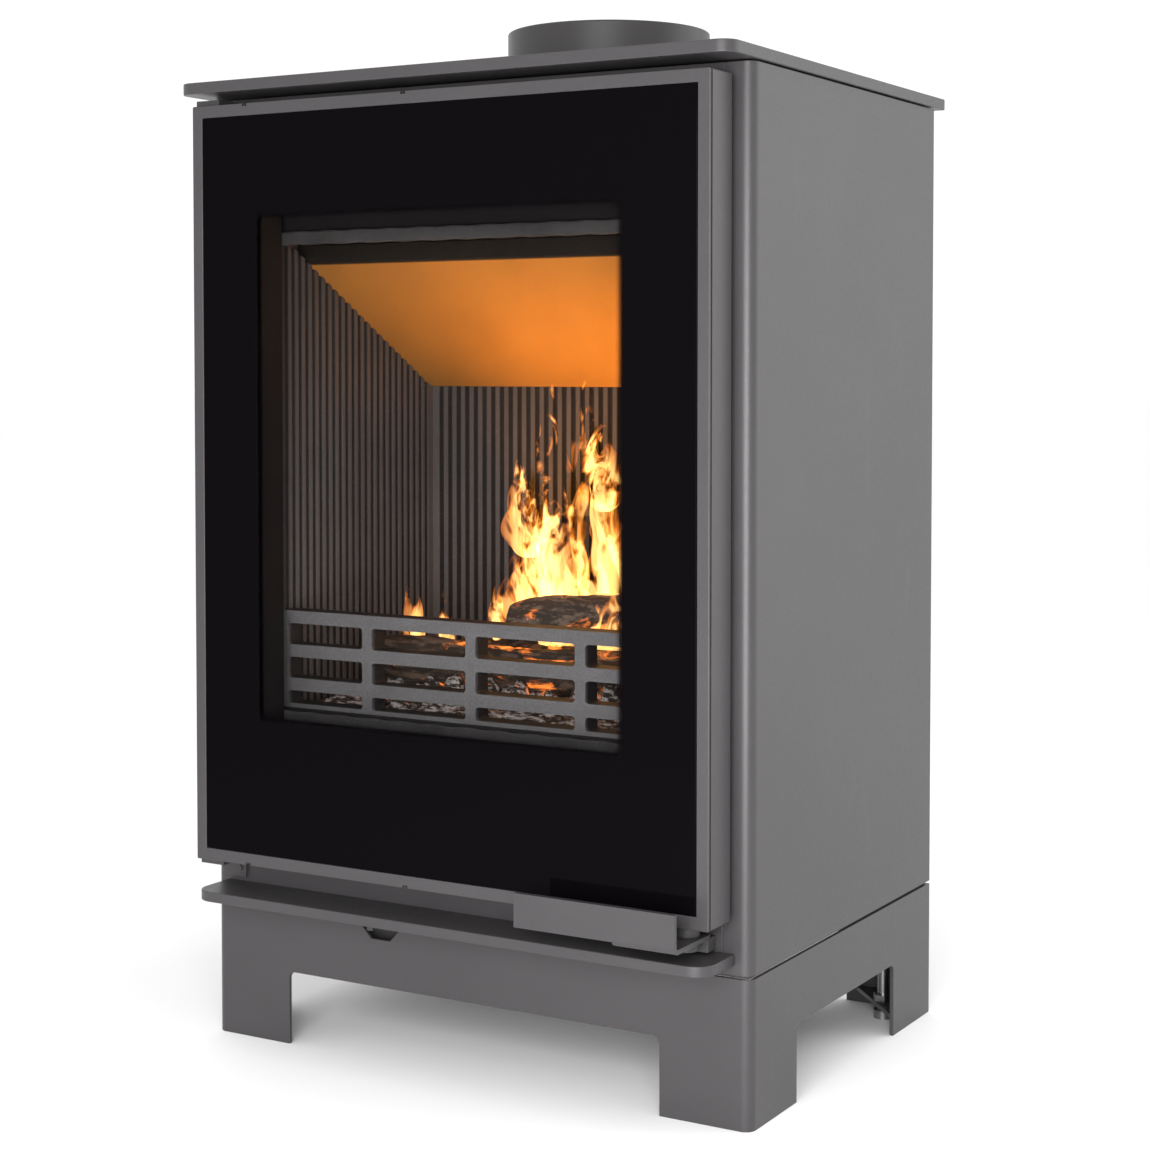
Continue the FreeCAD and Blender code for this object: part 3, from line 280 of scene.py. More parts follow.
def at_levels(flat, levels):
    """Give each flat ring its level as a third coordinate."""
    height = np.broadcast_to(np.asarray(levels)[:, None, None], flat.shape[:2] + (1,))
    return np.concatenate([flat, height], axis=-1)


def swap(points, plane):
    """Turn (across, up, through) into x, y, z for an outline drawn on a plane."""
    order = {"XY": (0, 1, 2), "XZ": (0, 2, 1), "YZ": (2, 0, 1)}[plane]
    return points[..., list(order)]


def prism(name, outline, plane, low, high, edge):
    """An outline carried from low to high across its plane, with both rims rounded."""
    return close_up(surface(name, swap(carried(outline, rim(low, high, edge)), plane), caps=True))


def frame_path(x0, x1, z0, z1, radius, steps=3):
    """Rounded rectangle as a ring of points, anticlockwise, the same number for every size."""
    return soften([(x0, z0), (x1, z0), (x1, z1), (x0, z1)], max(radius, SQUARE), steps)


def turned(name, profile, centre, steps=96, closed=True):
    """A profile of radius and height spun about a vertical axis: x = r cos a, y = r sin a."""
    angle = np.linspace(0, 2 * np.pi, steps, endpoint=False)
    ring = np.stack([np.cos(angle), np.sin(angle)], axis=-1)
    across = profile[:, 0, None, None] * ring[None] + np.asarray(centre)
    return close_up(surface(name, at_levels(across, profile[:, 1]), wrap_rows=closed))


def waves(points, seed, size, octaves=4):
    """Smooth noise: the sum over the octaves of three sines in seeded directions.

    Each octave is half as high and twice as fine as the one before: sin(2 pi 2^o way.p / size) / 2^o.
    """
    random = np.random.default_rng(seed)
    total = np.zeros(points.shape[:-1])
    for octave in range(octaves):
        for _ in range(3):
            way = random.normal(size=3)
            way = way / np.linalg.norm(way) * 2 ** octave * 2 * np.pi / size
            total += np.sin(points @ way + random.uniform(0, 2 * np.pi)) / 2 ** octave
    return total / 5.6


def show(mesh, body, material, replaces=(), edge=0.0, angle=32):
    """Put a finished mesh in the scene as a piece that rides on a body."""
    mesh.materials.clear()
    mesh.materials.append(material)
    mesh.shade_smooth()
    piece = bpy.data.objects.new(mesh.name, mesh)
    bpy.context.scene.collection.objects.link(piece)
    if edge > 0:
        rounding = piece.modifiers.new("rounded edges", "BEVEL")
        rounding.width = edge
        rounding.segments = 2
        rounding.limit_method = "ANGLE"
        rounding.angle_limit = math.radians(angle)
        rounding.use_clamp_overlap = True
        weighted = piece.modifiers.new("flat faces stay flat", "WEIGHTED_NORMAL")
        weighted.keep_sharp = True
        weighted.weight = 60
    else:
        mesh.set_sharp_from_angle(angle=math.radians(angle))
    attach(piece, body)
    if replaces:
        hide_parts(*replaces)
    return piece


def softened(name, body, material, edge):
    """A merged copy of a frame node with its edges rounded, standing for that node."""
    mesh = nodes[name].data.copy()
    mesh.name = name + "_finished"
    close_up(mesh, 1e-5, flatten=True)
    return show(mesh, body, material, (name,), edge)


def corners(name):
    """Lowest and highest corner of a frame node as plain tuples."""
    low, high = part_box(name)
    return tuple(low), tuple(high)


# ---- material tools -----------------------------------------------------------------------
def add_node(tree, kind, inputs=None, **settings):
    """Add a shader node, set its properties, and set or link its inputs."""
    item = tree.nodes.new("ShaderNode" + kind)
    for key, value in settings.items():
        setattr(item, key, value)
    for key, value in (inputs or {}).items():
        if isinstance(value, bpy.types.NodeSocket):
            tree.links.new(value, item.inputs[key])
        else:
            item.inputs[key].default_value = value
    return item


def new_material(name):
    """An empty node material with its output node."""
    material = bpy.data.materials.new(name)
    material.use_nodes = True
    tree = material.node_tree
    tree.nodes.clear()
    return material, tree, add_node(tree, "OutputMaterial")


def noise(tree, size, detail=4.0, stretch=(1, 1, 1), roughness=0.55, distortion=0.0):
    """Noise over the object's own coordinates, with a grain of the given size in metres."""
    place = add_node(tree, "TexCoord").outputs["Object"]
    if tuple(stretch) != (1, 1, 1):
        place = add_node(tree, "Mapping", {"Vector": place, "Scale": stretch}).outputs[0]
    return add_node(tree, "TexNoise", {"Vector": place, "Scale": 1 / size, "Detail": detail,
                                       "Roughness": roughness, "Distortion": distortion}).outputs["Fac"]


def spread(tree, value, low, high, to_low=0.0, to_high=1.0, smooth=True):
    """Map a value from one range to another."""
    inputs = {"Value": value, "From Min": low, "From Max": high, "To Min": to_low, "To Max": to_high}
    kind = "SMOOTHSTEP" if smooth else "LINEAR"
    return add_node(tree, "MapRange", inputs, interpolation_type=kind).outputs["Result"]


def maths(tree, operation, first, second=0.0):
    """One arithmetic step."""
    return add_node(tree, "Math", {0: first, 1: second}, operation=operation).outputs[0]


def blend_colours(tree, share, first, second):
    """Mix two colours by a share."""
    first, second = [tuple(c) + (1.0,) if not isinstance(c, bpy.types.NodeSocket) else c
                     for c in (first, second)]
    return add_node(tree, "Mix", {0: share, 6: first, 7: second}, data_type="RGBA").outputs[2]


def bump(tree, layers):
    """Bumps laid on each other: pairs of height and depth in metres."""
    normal = None
    for height, depth in layers:
        inputs = {"Height": height, "Distance": depth, "Strength": 1.0}
        if normal is not None:
            inputs["Normal"] = normal
        normal = add_node(tree, "Bump", inputs).outputs[0]
    return normal


def principled(tree, out, inputs):
    """Put a Principled shader with these inputs on the material's surface."""
    shader = add_node(tree, "BsdfPrincipled", inputs)
    tree.links.new(shader.outputs[0], out.inputs["Surface"])


def axes(tree):
    """The object's own x, y and z as three outputs."""
    split = add_node(tree, "SeparateXYZ", {0: add_node(tree, "TexCoord").outputs["Object"]})
    return split.outputs["X"], split.outputs["Y"], split.outputs["Z"]


def scaled(colour_value, factor):
    """A colour made lighter or darker."""
    return tuple(min(1.0, channel * factor) for channel in colour_value)


def within(tree, x_reach, low, high, fade):
    """1 inside an upright rectangle about the middle, in x and z, fading out over a width."""
    x, _, z = axes(tree)
    across = spread(tree, maths(tree, "ABSOLUTE", x), x_reach + fade, x_reach)
    up = maths(tree, "MULTIPLY", spread(tree, z, low - fade, low), spread(tree, z, high + fade, high))
    return maths(tree, "MULTIPLY", across, up)


def paint_material(name, colours, sizes, with_soot_and_painted_shade=False):
    """Satin heat-resistant paint: fine grain, faint clouding and light rubs, with soot and painted shade
    round the fire's mouth where asked."""
    material, tree, out = new_material(name)
    grain = noise(tree, sizes.paint_grain, 3.0)
    cloud = noise(tree, 0.09, 3.0)
    rub = noise(tree, 0.02, 6.0, (1, 1, 0.25), 0.7)
    clouds = spread(tree, cloud, 0.35, 0.7, 0.0, 0.55)
    grains = spread(tree, grain, 0.35, 0.65, 0.0, 0.45)
    rubs = spread(tree, rub, 0.62, 0.78, 0.0, 0.35)
    base = blend_colours(tree, maths(tree, "ADD", clouds, grains), colours.paint, colours.paint_dust)
    rubbed = blend_colours(tree, rubs, base, scaled(colours.paint_dust, 1.12))
    polish = spread(tree, rub, 0.55, 0.75, 0.0, -0.05)
    rough = maths(tree, "ADD", spread(tree, grain, 0.3, 0.7, 0.34, 0.43), polish)
    shine = 0.42
    # Soot and painted shade: round the fire's mouth the paint is darkened to near-black, standing in for
    # soot and for the shade in that recess.
    if with_soot_and_painted_shade:
        reach = sizes.window_left + sizes.soot_and_shade_margin
        soot_and_painted_shade = within(tree, reach, sizes.window_low, sizes.window_high, sizes.soot_and_shade_fade)
        rubbed = blend_colours(tree, soot_and_painted_shade, rubbed, colours.soot_and_painted_shade)
        rough = maths(tree, "ADD", rough, maths(tree, "MULTIPLY", soot_and_painted_shade, 0.4))
        shine = spread(tree, soot_and_painted_shade, 0.0, 1.0, shine, 0.05, False)
    principled(tree, out, {"Base Color": rubbed, "Roughness": rough, "Specular IOR Level": shine,
                           "Normal": bump(tree, [(grain, 0.00006), (cloud, 0.00015)])})
    return material


def glass_material(colours, sizes):
    """Black-printed ceramic glass whose window is clear, with a border that fades out in dots."""
    material, tree, out = new_material("printed_ceramic_glass")
    x, _, z = axes(tree)
    place = add_node(tree, "TexCoord").outputs["Object"]
    fade = sizes.window_fade
    inside = [spread(tree, x, -sizes.window_left, fade * 0.4 - sizes.window_left),
              spread(tree, x, sizes.window_right, sizes.window_right - fade),
              spread(tree, z, sizes.window_low, sizes.window_low + fade),
              spread(tree, z, sizes.window_high, sizes.window_high - fade)]
    clear = inside[0]
    for side in inside[1:]:
        clear = maths(tree, "MULTIPLY", clear, side)
    dots = add_node(tree, "TexVoronoi", {"Vector": place, "Scale": 900.0, "Randomness": 0.0},
                    feature="F1").outputs["Distance"]
    edge = maths(tree, "ADD", clear, spread(tree, dots, 0.1, 0.6, -0.22, 0.22, False))
    clear = maths(tree, "MULTIPLY", spread(tree, edge, 0.15, 0.85), spread(tree, clear, 0.0, 0.08))
    smudge = noise(tree, 0.05, 5.0)
    cover = spread(tree, smudge, 0.4, 0.75, 0.05, 0.10)
    seen_through = maths(tree, "MULTIPLY", clear, maths(tree, "SUBTRACT", 1.0, cover))
    principled(tree, out, {
        "Base Color": tuple(colours.print_black) + (1.0,), "Specular IOR Level": 0.02,
        "Alpha": maths(tree, "SUBTRACT", 1.0, seen_through),
        "Roughness": spread(tree, smudge, 0.35, 0.7, 0.05, 0.11),
        "Normal": bump(tree, [(noise(tree, 0.08, 2.0), 0.00004)])})
    return material


def board_material(name, tone, soot_and_painted_shade, top, front):
    """Pressed lining board: granular, darker towards its top and its front edge with soot and painted
    shade, and darker in the flutes with painted shade.

    top gives two levels and how much darker it is above them, front the two depths of the edge darkened
    with soot and painted shade.
    """
    material, tree, out = new_material(name)
    _, y, z = axes(tree)
    grit = noise(tree, 0.0014, 5.0, roughness=0.7)
    patch = noise(tree, 0.12, 3.0, (1, 1, 0.4), 0.5)
    # The flute attribute holds the depth in the flutes and drives the painted shade in the grooves below.
    flute = add_node(tree, "Attribute", attribute_name="flute").outputs["Fac"]
    base = blend_colours(tree, spread(tree, grit, 0.3, 0.7), scaled(tone, 0.86), scaled(tone, 1.14))
    clouded = blend_colours(tree, spread(tree, patch, 0.4, 0.7, 0.0, soot_and_painted_shade), base, scaled(tone, 0.45))
    # Soot and painted shade: darker above the given levels, towards the top of the firebox.
    top_soot_and_painted_shade = blend_colours(tree, spread(tree, z, top[0], top[1], 0.0, top[2]), clouded, scaled(tone, 0.2))
    # Painted shade: darker in the flutes by their depth, standing in for the shade in the grooves.
    flute_painted_shade = blend_colours(tree, spread(tree, flute, 0.03, 0.40, 0.0, 0.9), top_soot_and_painted_shade, scaled(tone, 0.08))
    # Soot and painted shade: darker at the board's front edge, by the fire's mouth.
    with_soot_and_painted_shade = blend_colours(tree, spread(tree, y, *front), flute_painted_shade, scaled(tone, 0.03))
    principled(tree, out, {
        "Base Color": with_soot_and_painted_shade, "Roughness": spread(tree, grit, 0.3, 0.7, 0.82, 0.95),
        "Specular IOR Level": 0.25, "Normal": bump(tree, [(grit, 0.00022), (patch, 0.0004)])})
    return material


def metal_material(name, tone, grain, depth, rough, metallic=0.0, wear=None, shine=0.5, fire_side_soot_and_shade=None):
    """Cast, rolled or plated metal: grain, clouding, worn places, and soot and painted shade on the fire
    side.
    """
    material, tree, out = new_material(name)
    grit = noise(tree, grain, 4.0, roughness=0.6)
    cloud = noise(tree, 0.05, 4.0)
    base = blend_colours(tree, spread(tree, grit, 0.3, 0.7), scaled(tone, 0.82), scaled(tone, 1.15))
    if wear is not None:
        base = blend_colours(tree, spread(tree, cloud, 0.5, 0.72, 0.0, 0.5), base, wear)
    # Soot and painted shade: the side that faces the fire is darkened, standing in for soot and for the
    # shade on that side.
    if fire_side_soot_and_shade is not None:
        base = blend_colours(tree, spread(tree, axes(tree)[1], *fire_side_soot_and_shade), base, scaled(tone, 0.15))
    principled(tree, out, {
        "Base Color": base, "Metallic": metallic, "Specular IOR Level": shine,
        "Roughness": spread(tree, cloud, 0.3, 0.7, rough - 0.06, rough + 0.08),
        "Normal": bump(tree, [(grit, depth)])})
    return material


def rope_material(colours):
    """Knitted glass-fibre rope: fine crossed yarns with greyed patches."""
    material, tree, out = new_material("glass_fibre_rope")
    yarn = noise(tree, 0.0012, 2.0, (1, 1, 2.5), 0.5)
    patch = noise(tree, 0.03, 4.0)
    tone = colours.rope
    base = blend_colours(tree, spread(tree, yarn, 0.35, 0.65), scaled(tone, 0.55), scaled(tone, 1.3))
    stained = blend_colours(tree, spread(tree, patch, 0.45, 0.7, 0.0, 0.6), base, scaled(tone, 0.45))
    principled(tree, out, {"Base Color": stained, "Roughness": 0.9, "Specular IOR Level": 0.2,
                           "Normal": bump(tree, [(yarn, 0.0004)])})
    return material


def flame_material(colours):
    """Flame: adds its light to what lies behind, most over its thick middle, in licks that tear apart
    towards the tip.

    Strength = power * thick^1.2 * smoothstep(noise - tear * rise), from the tongue's own attributes.
    """
    material, tree, out = new_material("flame")
    lick = noise(tree, 0.021, 3.0, (1, 1, 0.5), 0.5, 1.8)
    depth = add_node(tree, "Attribute", attribute_name="thick").outputs["Fac"]
    rise = add_node(tree, "Attribute", attribute_name="rise").outputs["Fac"]
    torn = maths(tree, "SUBTRACT", lick, maths(tree, "MULTIPLY", rise, 0.30))
    thick = maths(tree, "POWER", depth, 1.2)
    body = maths(tree, "MULTIPLY", thick, spread(tree, torn, 0.32, 0.47))
    tone = blend_colours(tree, spread(tree, body, 0.15, 0.8), colours.flame_edge, colours.flame_core)
    glow = add_node(tree, "Emission", {"Color": tone, "Strength": maths(tree, "MULTIPLY", body, 1.7)})
    clear = add_node(tree, "BsdfTransparent")
    both = add_node(tree, "AddShader", {0: clear.outputs[0], 1: glow.outputs[0]})
    tree.links.new(both.outputs[0], out.inputs["Surface"])
    return material


def wood_material(colours, name, pale, grain, glow_low, strength):
    """Charred wood with pale ash on its fibres and glowing cracks."""
    material, tree, out = new_material(name)
    fibre = noise(tree, grain, 6.0, (0.3, 1, 1), 0.7)
    crack = noise(tree, 0.018, 6.0, (0.5, 1, 1), 0.65, 0.6)
    base = blend_colours(tree, spread(tree, fibre, 0.46, 0.60), colours.bark, pale)
    hot = spread(tree, crack, glow_low, glow_low + 0.14)
    principled(tree, out, {
        "Base Color": base, "Roughness": 0.9, "Emission Color": tuple(colours.ember) + (1.0,),
        "Emission Strength": maths(tree, "MULTIPLY", hot, strength),
        "Normal": bump(tree, [(fibre, 0.0012), (crack, 0.002)])})
    return material


def floor_material(colours):
    """Plain pale floor with very faint clouding."""
    material, tree, out = new_material("pale_floor")
    cloud = noise(tree, 0.7, 2.0)
    base = blend_colours(tree, cloud, scaled(colours.floor, 0.985), colours.floor)
    principled(tree, out, {"Base Color": base, "Roughness": 0.8, "Specular IOR Level": 0.2})
    return material


MAKERS = {
    "paint": lambda c, s: paint_material("satin_stove_paint", c, s),
    # Paint with soot and painted shade round the fire's mouth.
    "paint_soot_and_shade": lambda c, s: paint_material("sooted_stove_paint", c, s, True),
    "glass": lambda c, s: glass_material(c, s),
    # Lining boards with soot and painted shade at the top and the front edge, and painted shade in the
    # flutes.
    "board": lambda c, s: board_material(
        "sooted_lining_board", c.board, 0.35, (0.30, 0.60, 0.75), (-0.112, -0.128)),
    # Throat board whose orange colour is painted firelight.
    "board_painted_firelight": lambda c, s: board_material(
        "scorched_throat_board", c.board_painted_firelight, 0.2, (0.60, 0.70, 0.5), (-0.0872, -0.0888)),
    # Near-black steel round the fire's mouth: soot and painted shade.
    "soot_and_painted_shade": lambda c, s: metal_material(
        "sooted_steel", c.soot_and_painted_shade, 0.002, 0.00008, 0.8, wear=scaled(c.soot_and_painted_shade, 2.2), shine=0.05),
    # Guard iron with soot and painted shade on its fire side.
    "guard": lambda c, s: metal_material(
        "fire_guard_iron", c.iron, s.cast_grain, 0.00018, 0.6, wear=scaled(c.iron, 0.7), shine=0.35,
        fire_side_soot_and_shade=(-0.1225, -0.1190)),
    "iron": lambda c, s: metal_material(
        "painted_cast_iron", c.iron, s.cast_grain, 0.00018, 0.55, wear=scaled(c.iron, 0.6)),
    "steel": lambda c, s: metal_material(
        "black_inner_steel", c.steel, 0.003, 0.00006, 0.58, wear=scaled(c.steel, 1.9)),
    "zinc": lambda c, s: metal_material(
        "zinc_plated_steel", c.zinc, 0.0009, 0.00002, 0.34, 1.0, wear=scaled(c.zinc, 0.75)),
    "rope": lambda c, s: rope_material(c),
    "flame": lambda c, s: flame_material(c),
    "log": lambda c, s: wood_material(c, "charred_log", scaled(c.bark, 4.5), 0.006, 0.57, 2.2),
    "embers": lambda c, s: wood_material(c, "ember_bed", c.ash, 0.0035, 0.60, 1.4),
    "floor": lambda c, s: floor_material(c),
}
made = {}


def finish(name):
    """The material of a finish, made once."""
    if name not in made:
        scene = bpy.context.scene
        made[name] = MAKERS[name](scene.stove_colours, scene.stove_sizes)
    return made[name]


# ---- operators ----------------------------------------------------------------------------
class STOVE_OT_top_plate(bpy.types.Operator):
    """Thick top plate with rounded rims and the hole for the collar"""
    bl_idname = "stove.top_plate"
    bl_label = "Top plate"

    def execute(self, context):
        """Rings of the outline run up the outer rim, and then down the collar hole.

        Each point of the hole stands at the same angle about the collar as its outline point:
        hole = centre + radius * (cos a, sin a), with a the angle of the outline point.
        """
        sizes = context.scene.stove_sizes
        (x0, y0, z0), (x1, y1, z1) = corners("top_plate")
        (cx0, cy0, _), (cx1, cy1, _) = corners("flue_collar")
        centre = np.array([(cx0 + cx1) / 2, (cy0 + cy1) / 2])
        front, rear = sizes.plate_corner, sizes.plate_rear_corner
        outline = soften([(x0, y0), (x1, y0), (x1, y1), (x0, y1)], [front, front, rear, rear], 8)
        outline = divided(outline, sizes.plate_step)
        toward = outline - centre
        ring = toward / np.linalg.norm(toward, axis=1, keepdims=True)
        bore = rim(z1, z0, sizes.plate_edge, 2)
        hole = at_levels(centre + ring[None] * (sizes.plate_hole + bore[:, 0, None, None]), bore[:, 1])
        rings = np.concatenate([carried(outline, rim(z0, z1, sizes.plate_edge)), hole])
        mesh = close_up(surface("top_plate_finished", rings, wrap_rows=True))
        show(mesh, "stove", finish("paint"), ("top_plate",))
        return {"FINISHED"}


class STOVE_OT_flue_collar(bpy.types.Operator):
    """Flue collar turned from a pipe section, with its flange below the plate"""
    bl_idname = "stove.flue_collar"
    bl_label = "Flue collar"

    def execute(self, context):
        """The wall's section is spun about the collar's axis; its open rim is rounded."""
        sizes = context.scene.stove_sizes
        (x0, y0, z0), (x1, y1, z1) = corners("flue_collar")
        centre = ((x0 + x1) / 2, (y0 + y1) / 2)
        radius, wall, reach = sizes.collar_radius, sizes.collar_wall, (x1 - x0) / 2
        section = [(radius - wall, z0), (reach, z0), (reach, z0 + wall), (radius, z0 + wall),
                   (radius, z1), (radius - wall, z1)]
        edge = sizes.collar_edge
        profile = soften(section, [0.0003, 0.0006, 0.0006, 0.002, edge, edge], 4)
        mesh = turned("flue_collar_finished", profile, centre, 128)
        show(mesh, "stove", finish("paint"), ("flue_collar",))
        return {"FINISHED"}


class STOVE_OT_ash_lip(bpy.types.Operator):
    """Ledge below the door with round front corners"""
    bl_idname = "stove.ash_lip"
    bl_label = "Ash lip"

    def execute(self, context):
        """The rounded plan is carried from the lower to the upper face."""
        sizes = context.scene.stove_sizes
        (x0, y0, z0), (x1, y1, z1) = corners("ash_lip")
        corner = sizes.lip_corner
        rear = sizes.sheet_edge
        outline = soften([(x0, y0), (x1, y0), (x1, y1), (x0, y1)], [corner, corner, rear, rear], 8)
        mesh = prism("ash_lip_finished", outline, "XY", z0, z1, sizes.plate_edge)
        show(mesh, "stove", finish("paint"), ("ash_lip",))
        return {"FINISHED"}


class STOVE_OT_casing(bpy.types.Operator):
    """Bent side sheets, plinth, rear panel and front plate with softened edges"""
    bl_idname = "stove.casing"
    bl_label = "Casing and plinth"

    def execute(self, context):
        """Each side sheet's plan is carried upwards; the cut-out sheets are softened copies."""
        sizes = context.scene.stove_sizes
        sheet, fold, wrap, tail = sizes.sheet, sizes.fold, sizes.wrap, sizes.tail
        for side, sign in (("left", -1), ("right", 1)):
            (x0, y0, z0), (x1, y1, z1) = corners(f"side_panel_{side}")
            outer = x1 if sign > 0 else x0
            inner = outer - sheet * sign
            back = y1 - sheet
            front_end, rear_end = outer - wrap * sign, outer - tail * sign
            plan = [(front_end, y0), (outer, y0), (outer, y1), (inner, y1), (inner, back), (rear_end, back),
                    (rear_end, back - sheet), (inner, back - sheet), (inner, y0 + sheet),
                    (front_end, y0 + sheet)]
            radii = [0.0003, fold, FINE, FINE, 0.0002, 0.0003, 0.0003, 0.0002, fold - sheet, 0.0003]
            outline = soften(plan[::sign], radii[::sign], 8)
            mesh = prism(f"side_panel_{side}_finished", outline, "XY", z0, z1, sizes.sheet_edge)
            show(mesh, "stove", finish("paint"), (f"side_panel_{side}",))
        for name in ("base_frame", "rear_panel"):
            softened(name, "stove", finish("paint"), sizes.sheet_edge)
        # The front plate and the mouth rim carry soot and painted shade round the fire's mouth.
        softened("front_plate", "stove", finish("paint_soot_and_shade"), sizes.sheet_edge)
        softened("mouth_rim", "stove", finish("soot_and_painted_shade"), sizes.sheet_edge)
        return {"FINISHED"}


class STOVE_OT_door(bpy.types.Operator):
    """Door pan: painted border, side groove, recess for the glass and window tunnel"""
    bl_idname = "stove.door"
    bl_label = "Door"

    def execute(self, context):
        """A closed section is carried round the door, from the outer rectangle to the window's.

        Each section point is (share, inset, y): share 0 lies on the door's outline moved in by the
        inset, share 1 on the window opening moved out by it.  The ring there is the rectangle that
        results.  At the two notches the outline is pushed in by the notch's depth.
        """
        sizes = context.scene.stove_sizes
        (x0, y0, z0), (x1, y1, z1) = corners("door_frame")
        border, wall, cut = sizes.door_border, sizes.opening_wall, sizes.groove_depth
        half_window, low, high = sizes.opening_half, sizes.opening_low, sizes.opening_high
        web_front = y0 + sizes.recess
        web_back = web_front + sizes.web
        groove = y0 + sizes.groove_front
        groove_end = groove + sizes.groove_width
        hidden = border + 0.01
        corner_rows = [(hidden, y1), (0, y1), (0, groove_end), (cut, groove_end), (cut, groove),
                       (0, groove), (0, y0), (border, y0), (border, web_front), (hidden, web_front)]
        radii = [FINE, FINE, TINY, TINY, TINY, TINY, 0.0005, 0.0005, 0.0002, FINE]
        section = soften(corner_rows, radii, 3, closed=False)[1:-1]
        tunnel = ((0.0006, web_front), (0.0, web_front + FINE), (0.0, y1 - FINE), (FINE, y1),
                  (wall - FINE, y1), (wall, y1 - FINE), (wall, web_back))
        rows = [(0, depth, level) for depth, level in section]
        rows += [(0, border + 0.0008, web_front)]
        rows += [(1, depth, level) for depth, level in tunnel]
        rows += [(0, border, web_back), (0, border, y1 - FINE), (0, border - FINE, y1)]
        rings = []
        for share, depth, level in rows:
            if share == 0:
                ring = frame_path(x0 + depth, x1 - depth, z0 + depth, z1 - depth, sizes.door_edge - depth)
            else:
                half = half_window + depth
                ring = frame_path(-half, half, low - depth, high + depth, SQUARE)
            pushed = share == 0 and depth < sizes.notch_depth and level < groove_end + sizes.sheet_edge
            ring = self.notched(ring, z0 + sizes.notch_depth, z1 - sizes.notch_depth, sizes.notch_half,
                                pushed)
            rings.append(np.column_stack([ring[:, 0], np.full(len(ring), level), ring[:, 1]]))
        mesh = close_up(surface("door_frame_finished", np.array(rings), wrap_rows=True))
        # The door's window tunnel carries soot and painted shade, and so does the door liner.
        show(mesh, "door", finish("paint_soot_and_shade"), ("door_frame",))
        softened("door_liner", "door", finish("soot_and_painted_shade"), sizes.sheet_edge)
        return {"FINISHED"}

    def notched(self, ring, floor, ceiling, half, pushed):
        """Add points at the notch sides on the two long edges, and push in those between them."""
        quarter = len(ring) // 4
        side = np.array([-half - SQUARE, -half + SQUARE, half - SQUARE, half + SQUARE])
        near = (np.array(NOTCHES)[:, None] + side[None]).ravel()
        between = np.tile(np.abs(side) < half, len(NOTCHES)) & pushed
        lower = np.column_stack([near, np.where(between, floor, ring[quarter - 1, 1])])
        upper = np.column_stack([near, np.where(between, ceiling, ring[3 * quarter - 1, 1])])[::-1]
        far_sides = ring[quarter:3 * quarter]
        return np.concatenate([ring[:quarter], lower, far_sides, upper, ring[3 * quarter:]])


class STOVE_OT_glass(bpy.types.Operator):
    """Printed ceramic glass pane with ground edges"""
    bl_idname = "stove.glass"
    bl_label = "Glass"

    def execute(self, context):
        """The pane's outline is carried from front to back with a small ground edge."""
        sizes = context.scene.stove_sizes
        (x0, y0, z0), (x1, y1, z1) = corners("door_glass")
        outline = frame_path(x0, x1, z0, z1, sizes.glass_corner, 4)
        mesh = prism("door_glass_finished", outline, "XZ", y0, y1, sizes.glass_edge)
        show(mesh, "door", finish("glass"), ("door_glass",))
        return {"FINISHED"}


class STOVE_OT_rope_seal(bpy.types.Operator):
    """Twisted rope seal behind the door, pressed flat on the rim of the fire's mouth"""
    bl_idname = "stove.rope_seal"
    bl_label = "Rope seal"

    def execute(self, context):
        """A flattened circle is carried round a rectangle with round corners.

        Radius = 1 + 0.07 cos(3 a + 2 pi s / lay), for the angle a round the rope and the distance s
        along it, so three strands wind along its length.
        """
        sizes = context.scene.stove_sizes
        (x0, y0, z0), (x1, y1, z1) = corners("door_seal")
        half = sizes.rope_half
        path = frame_path(x0 + half, x1 - half, z0 + half, z1 - half, sizes.rope_corner, 8)
        closed = np.vstack([path, path[:1]])
        reach = np.concatenate([[0], np.cumsum(np.linalg.norm(np.diff(closed, axis=0), axis=1))])
        twists = round(reach[-1] / sizes.rope_lay)
        along = np.linspace(0, reach[-1], twists * 12, endpoint=False)
        spine = np.stack([np.interp(along, reach, part) for part in closed.T], axis=-1)
        way = np.roll(spine, -1, axis=0) - np.roll(spine, 1, axis=0)
        way = way / np.linalg.norm(way, axis=1, keepdims=True)
        side = np.column_stack([-way[:, 1], way[:, 0]])
        angle = np.linspace(0, 2 * np.pi, 20, endpoint=False)[None]
        turn = along[:, None] / reach[-1] * twists * 2 * np.pi
        radius = 1 + 0.07 * np.cos(3 * angle + turn) - 0.07
        across = half * radius * np.cos(angle)
        through = (y1 - y0) / 2 * radius * np.sign(np.sin(angle)) * np.abs(np.sin(angle)) ** 0.7
        rings = np.stack([spine[:, :1] + side[:, :1] * across, (y0 + y1) / 2 + through,
                          spine[:, 1:] + side[:, 1:] * across], axis=-1)
        mesh = close_up(surface("door_seal_finished", rings, wrap_rows=True))
        show(mesh, "door", finish("rope"), ("door_seal",), angle=80)
        return {"FINISHED"}


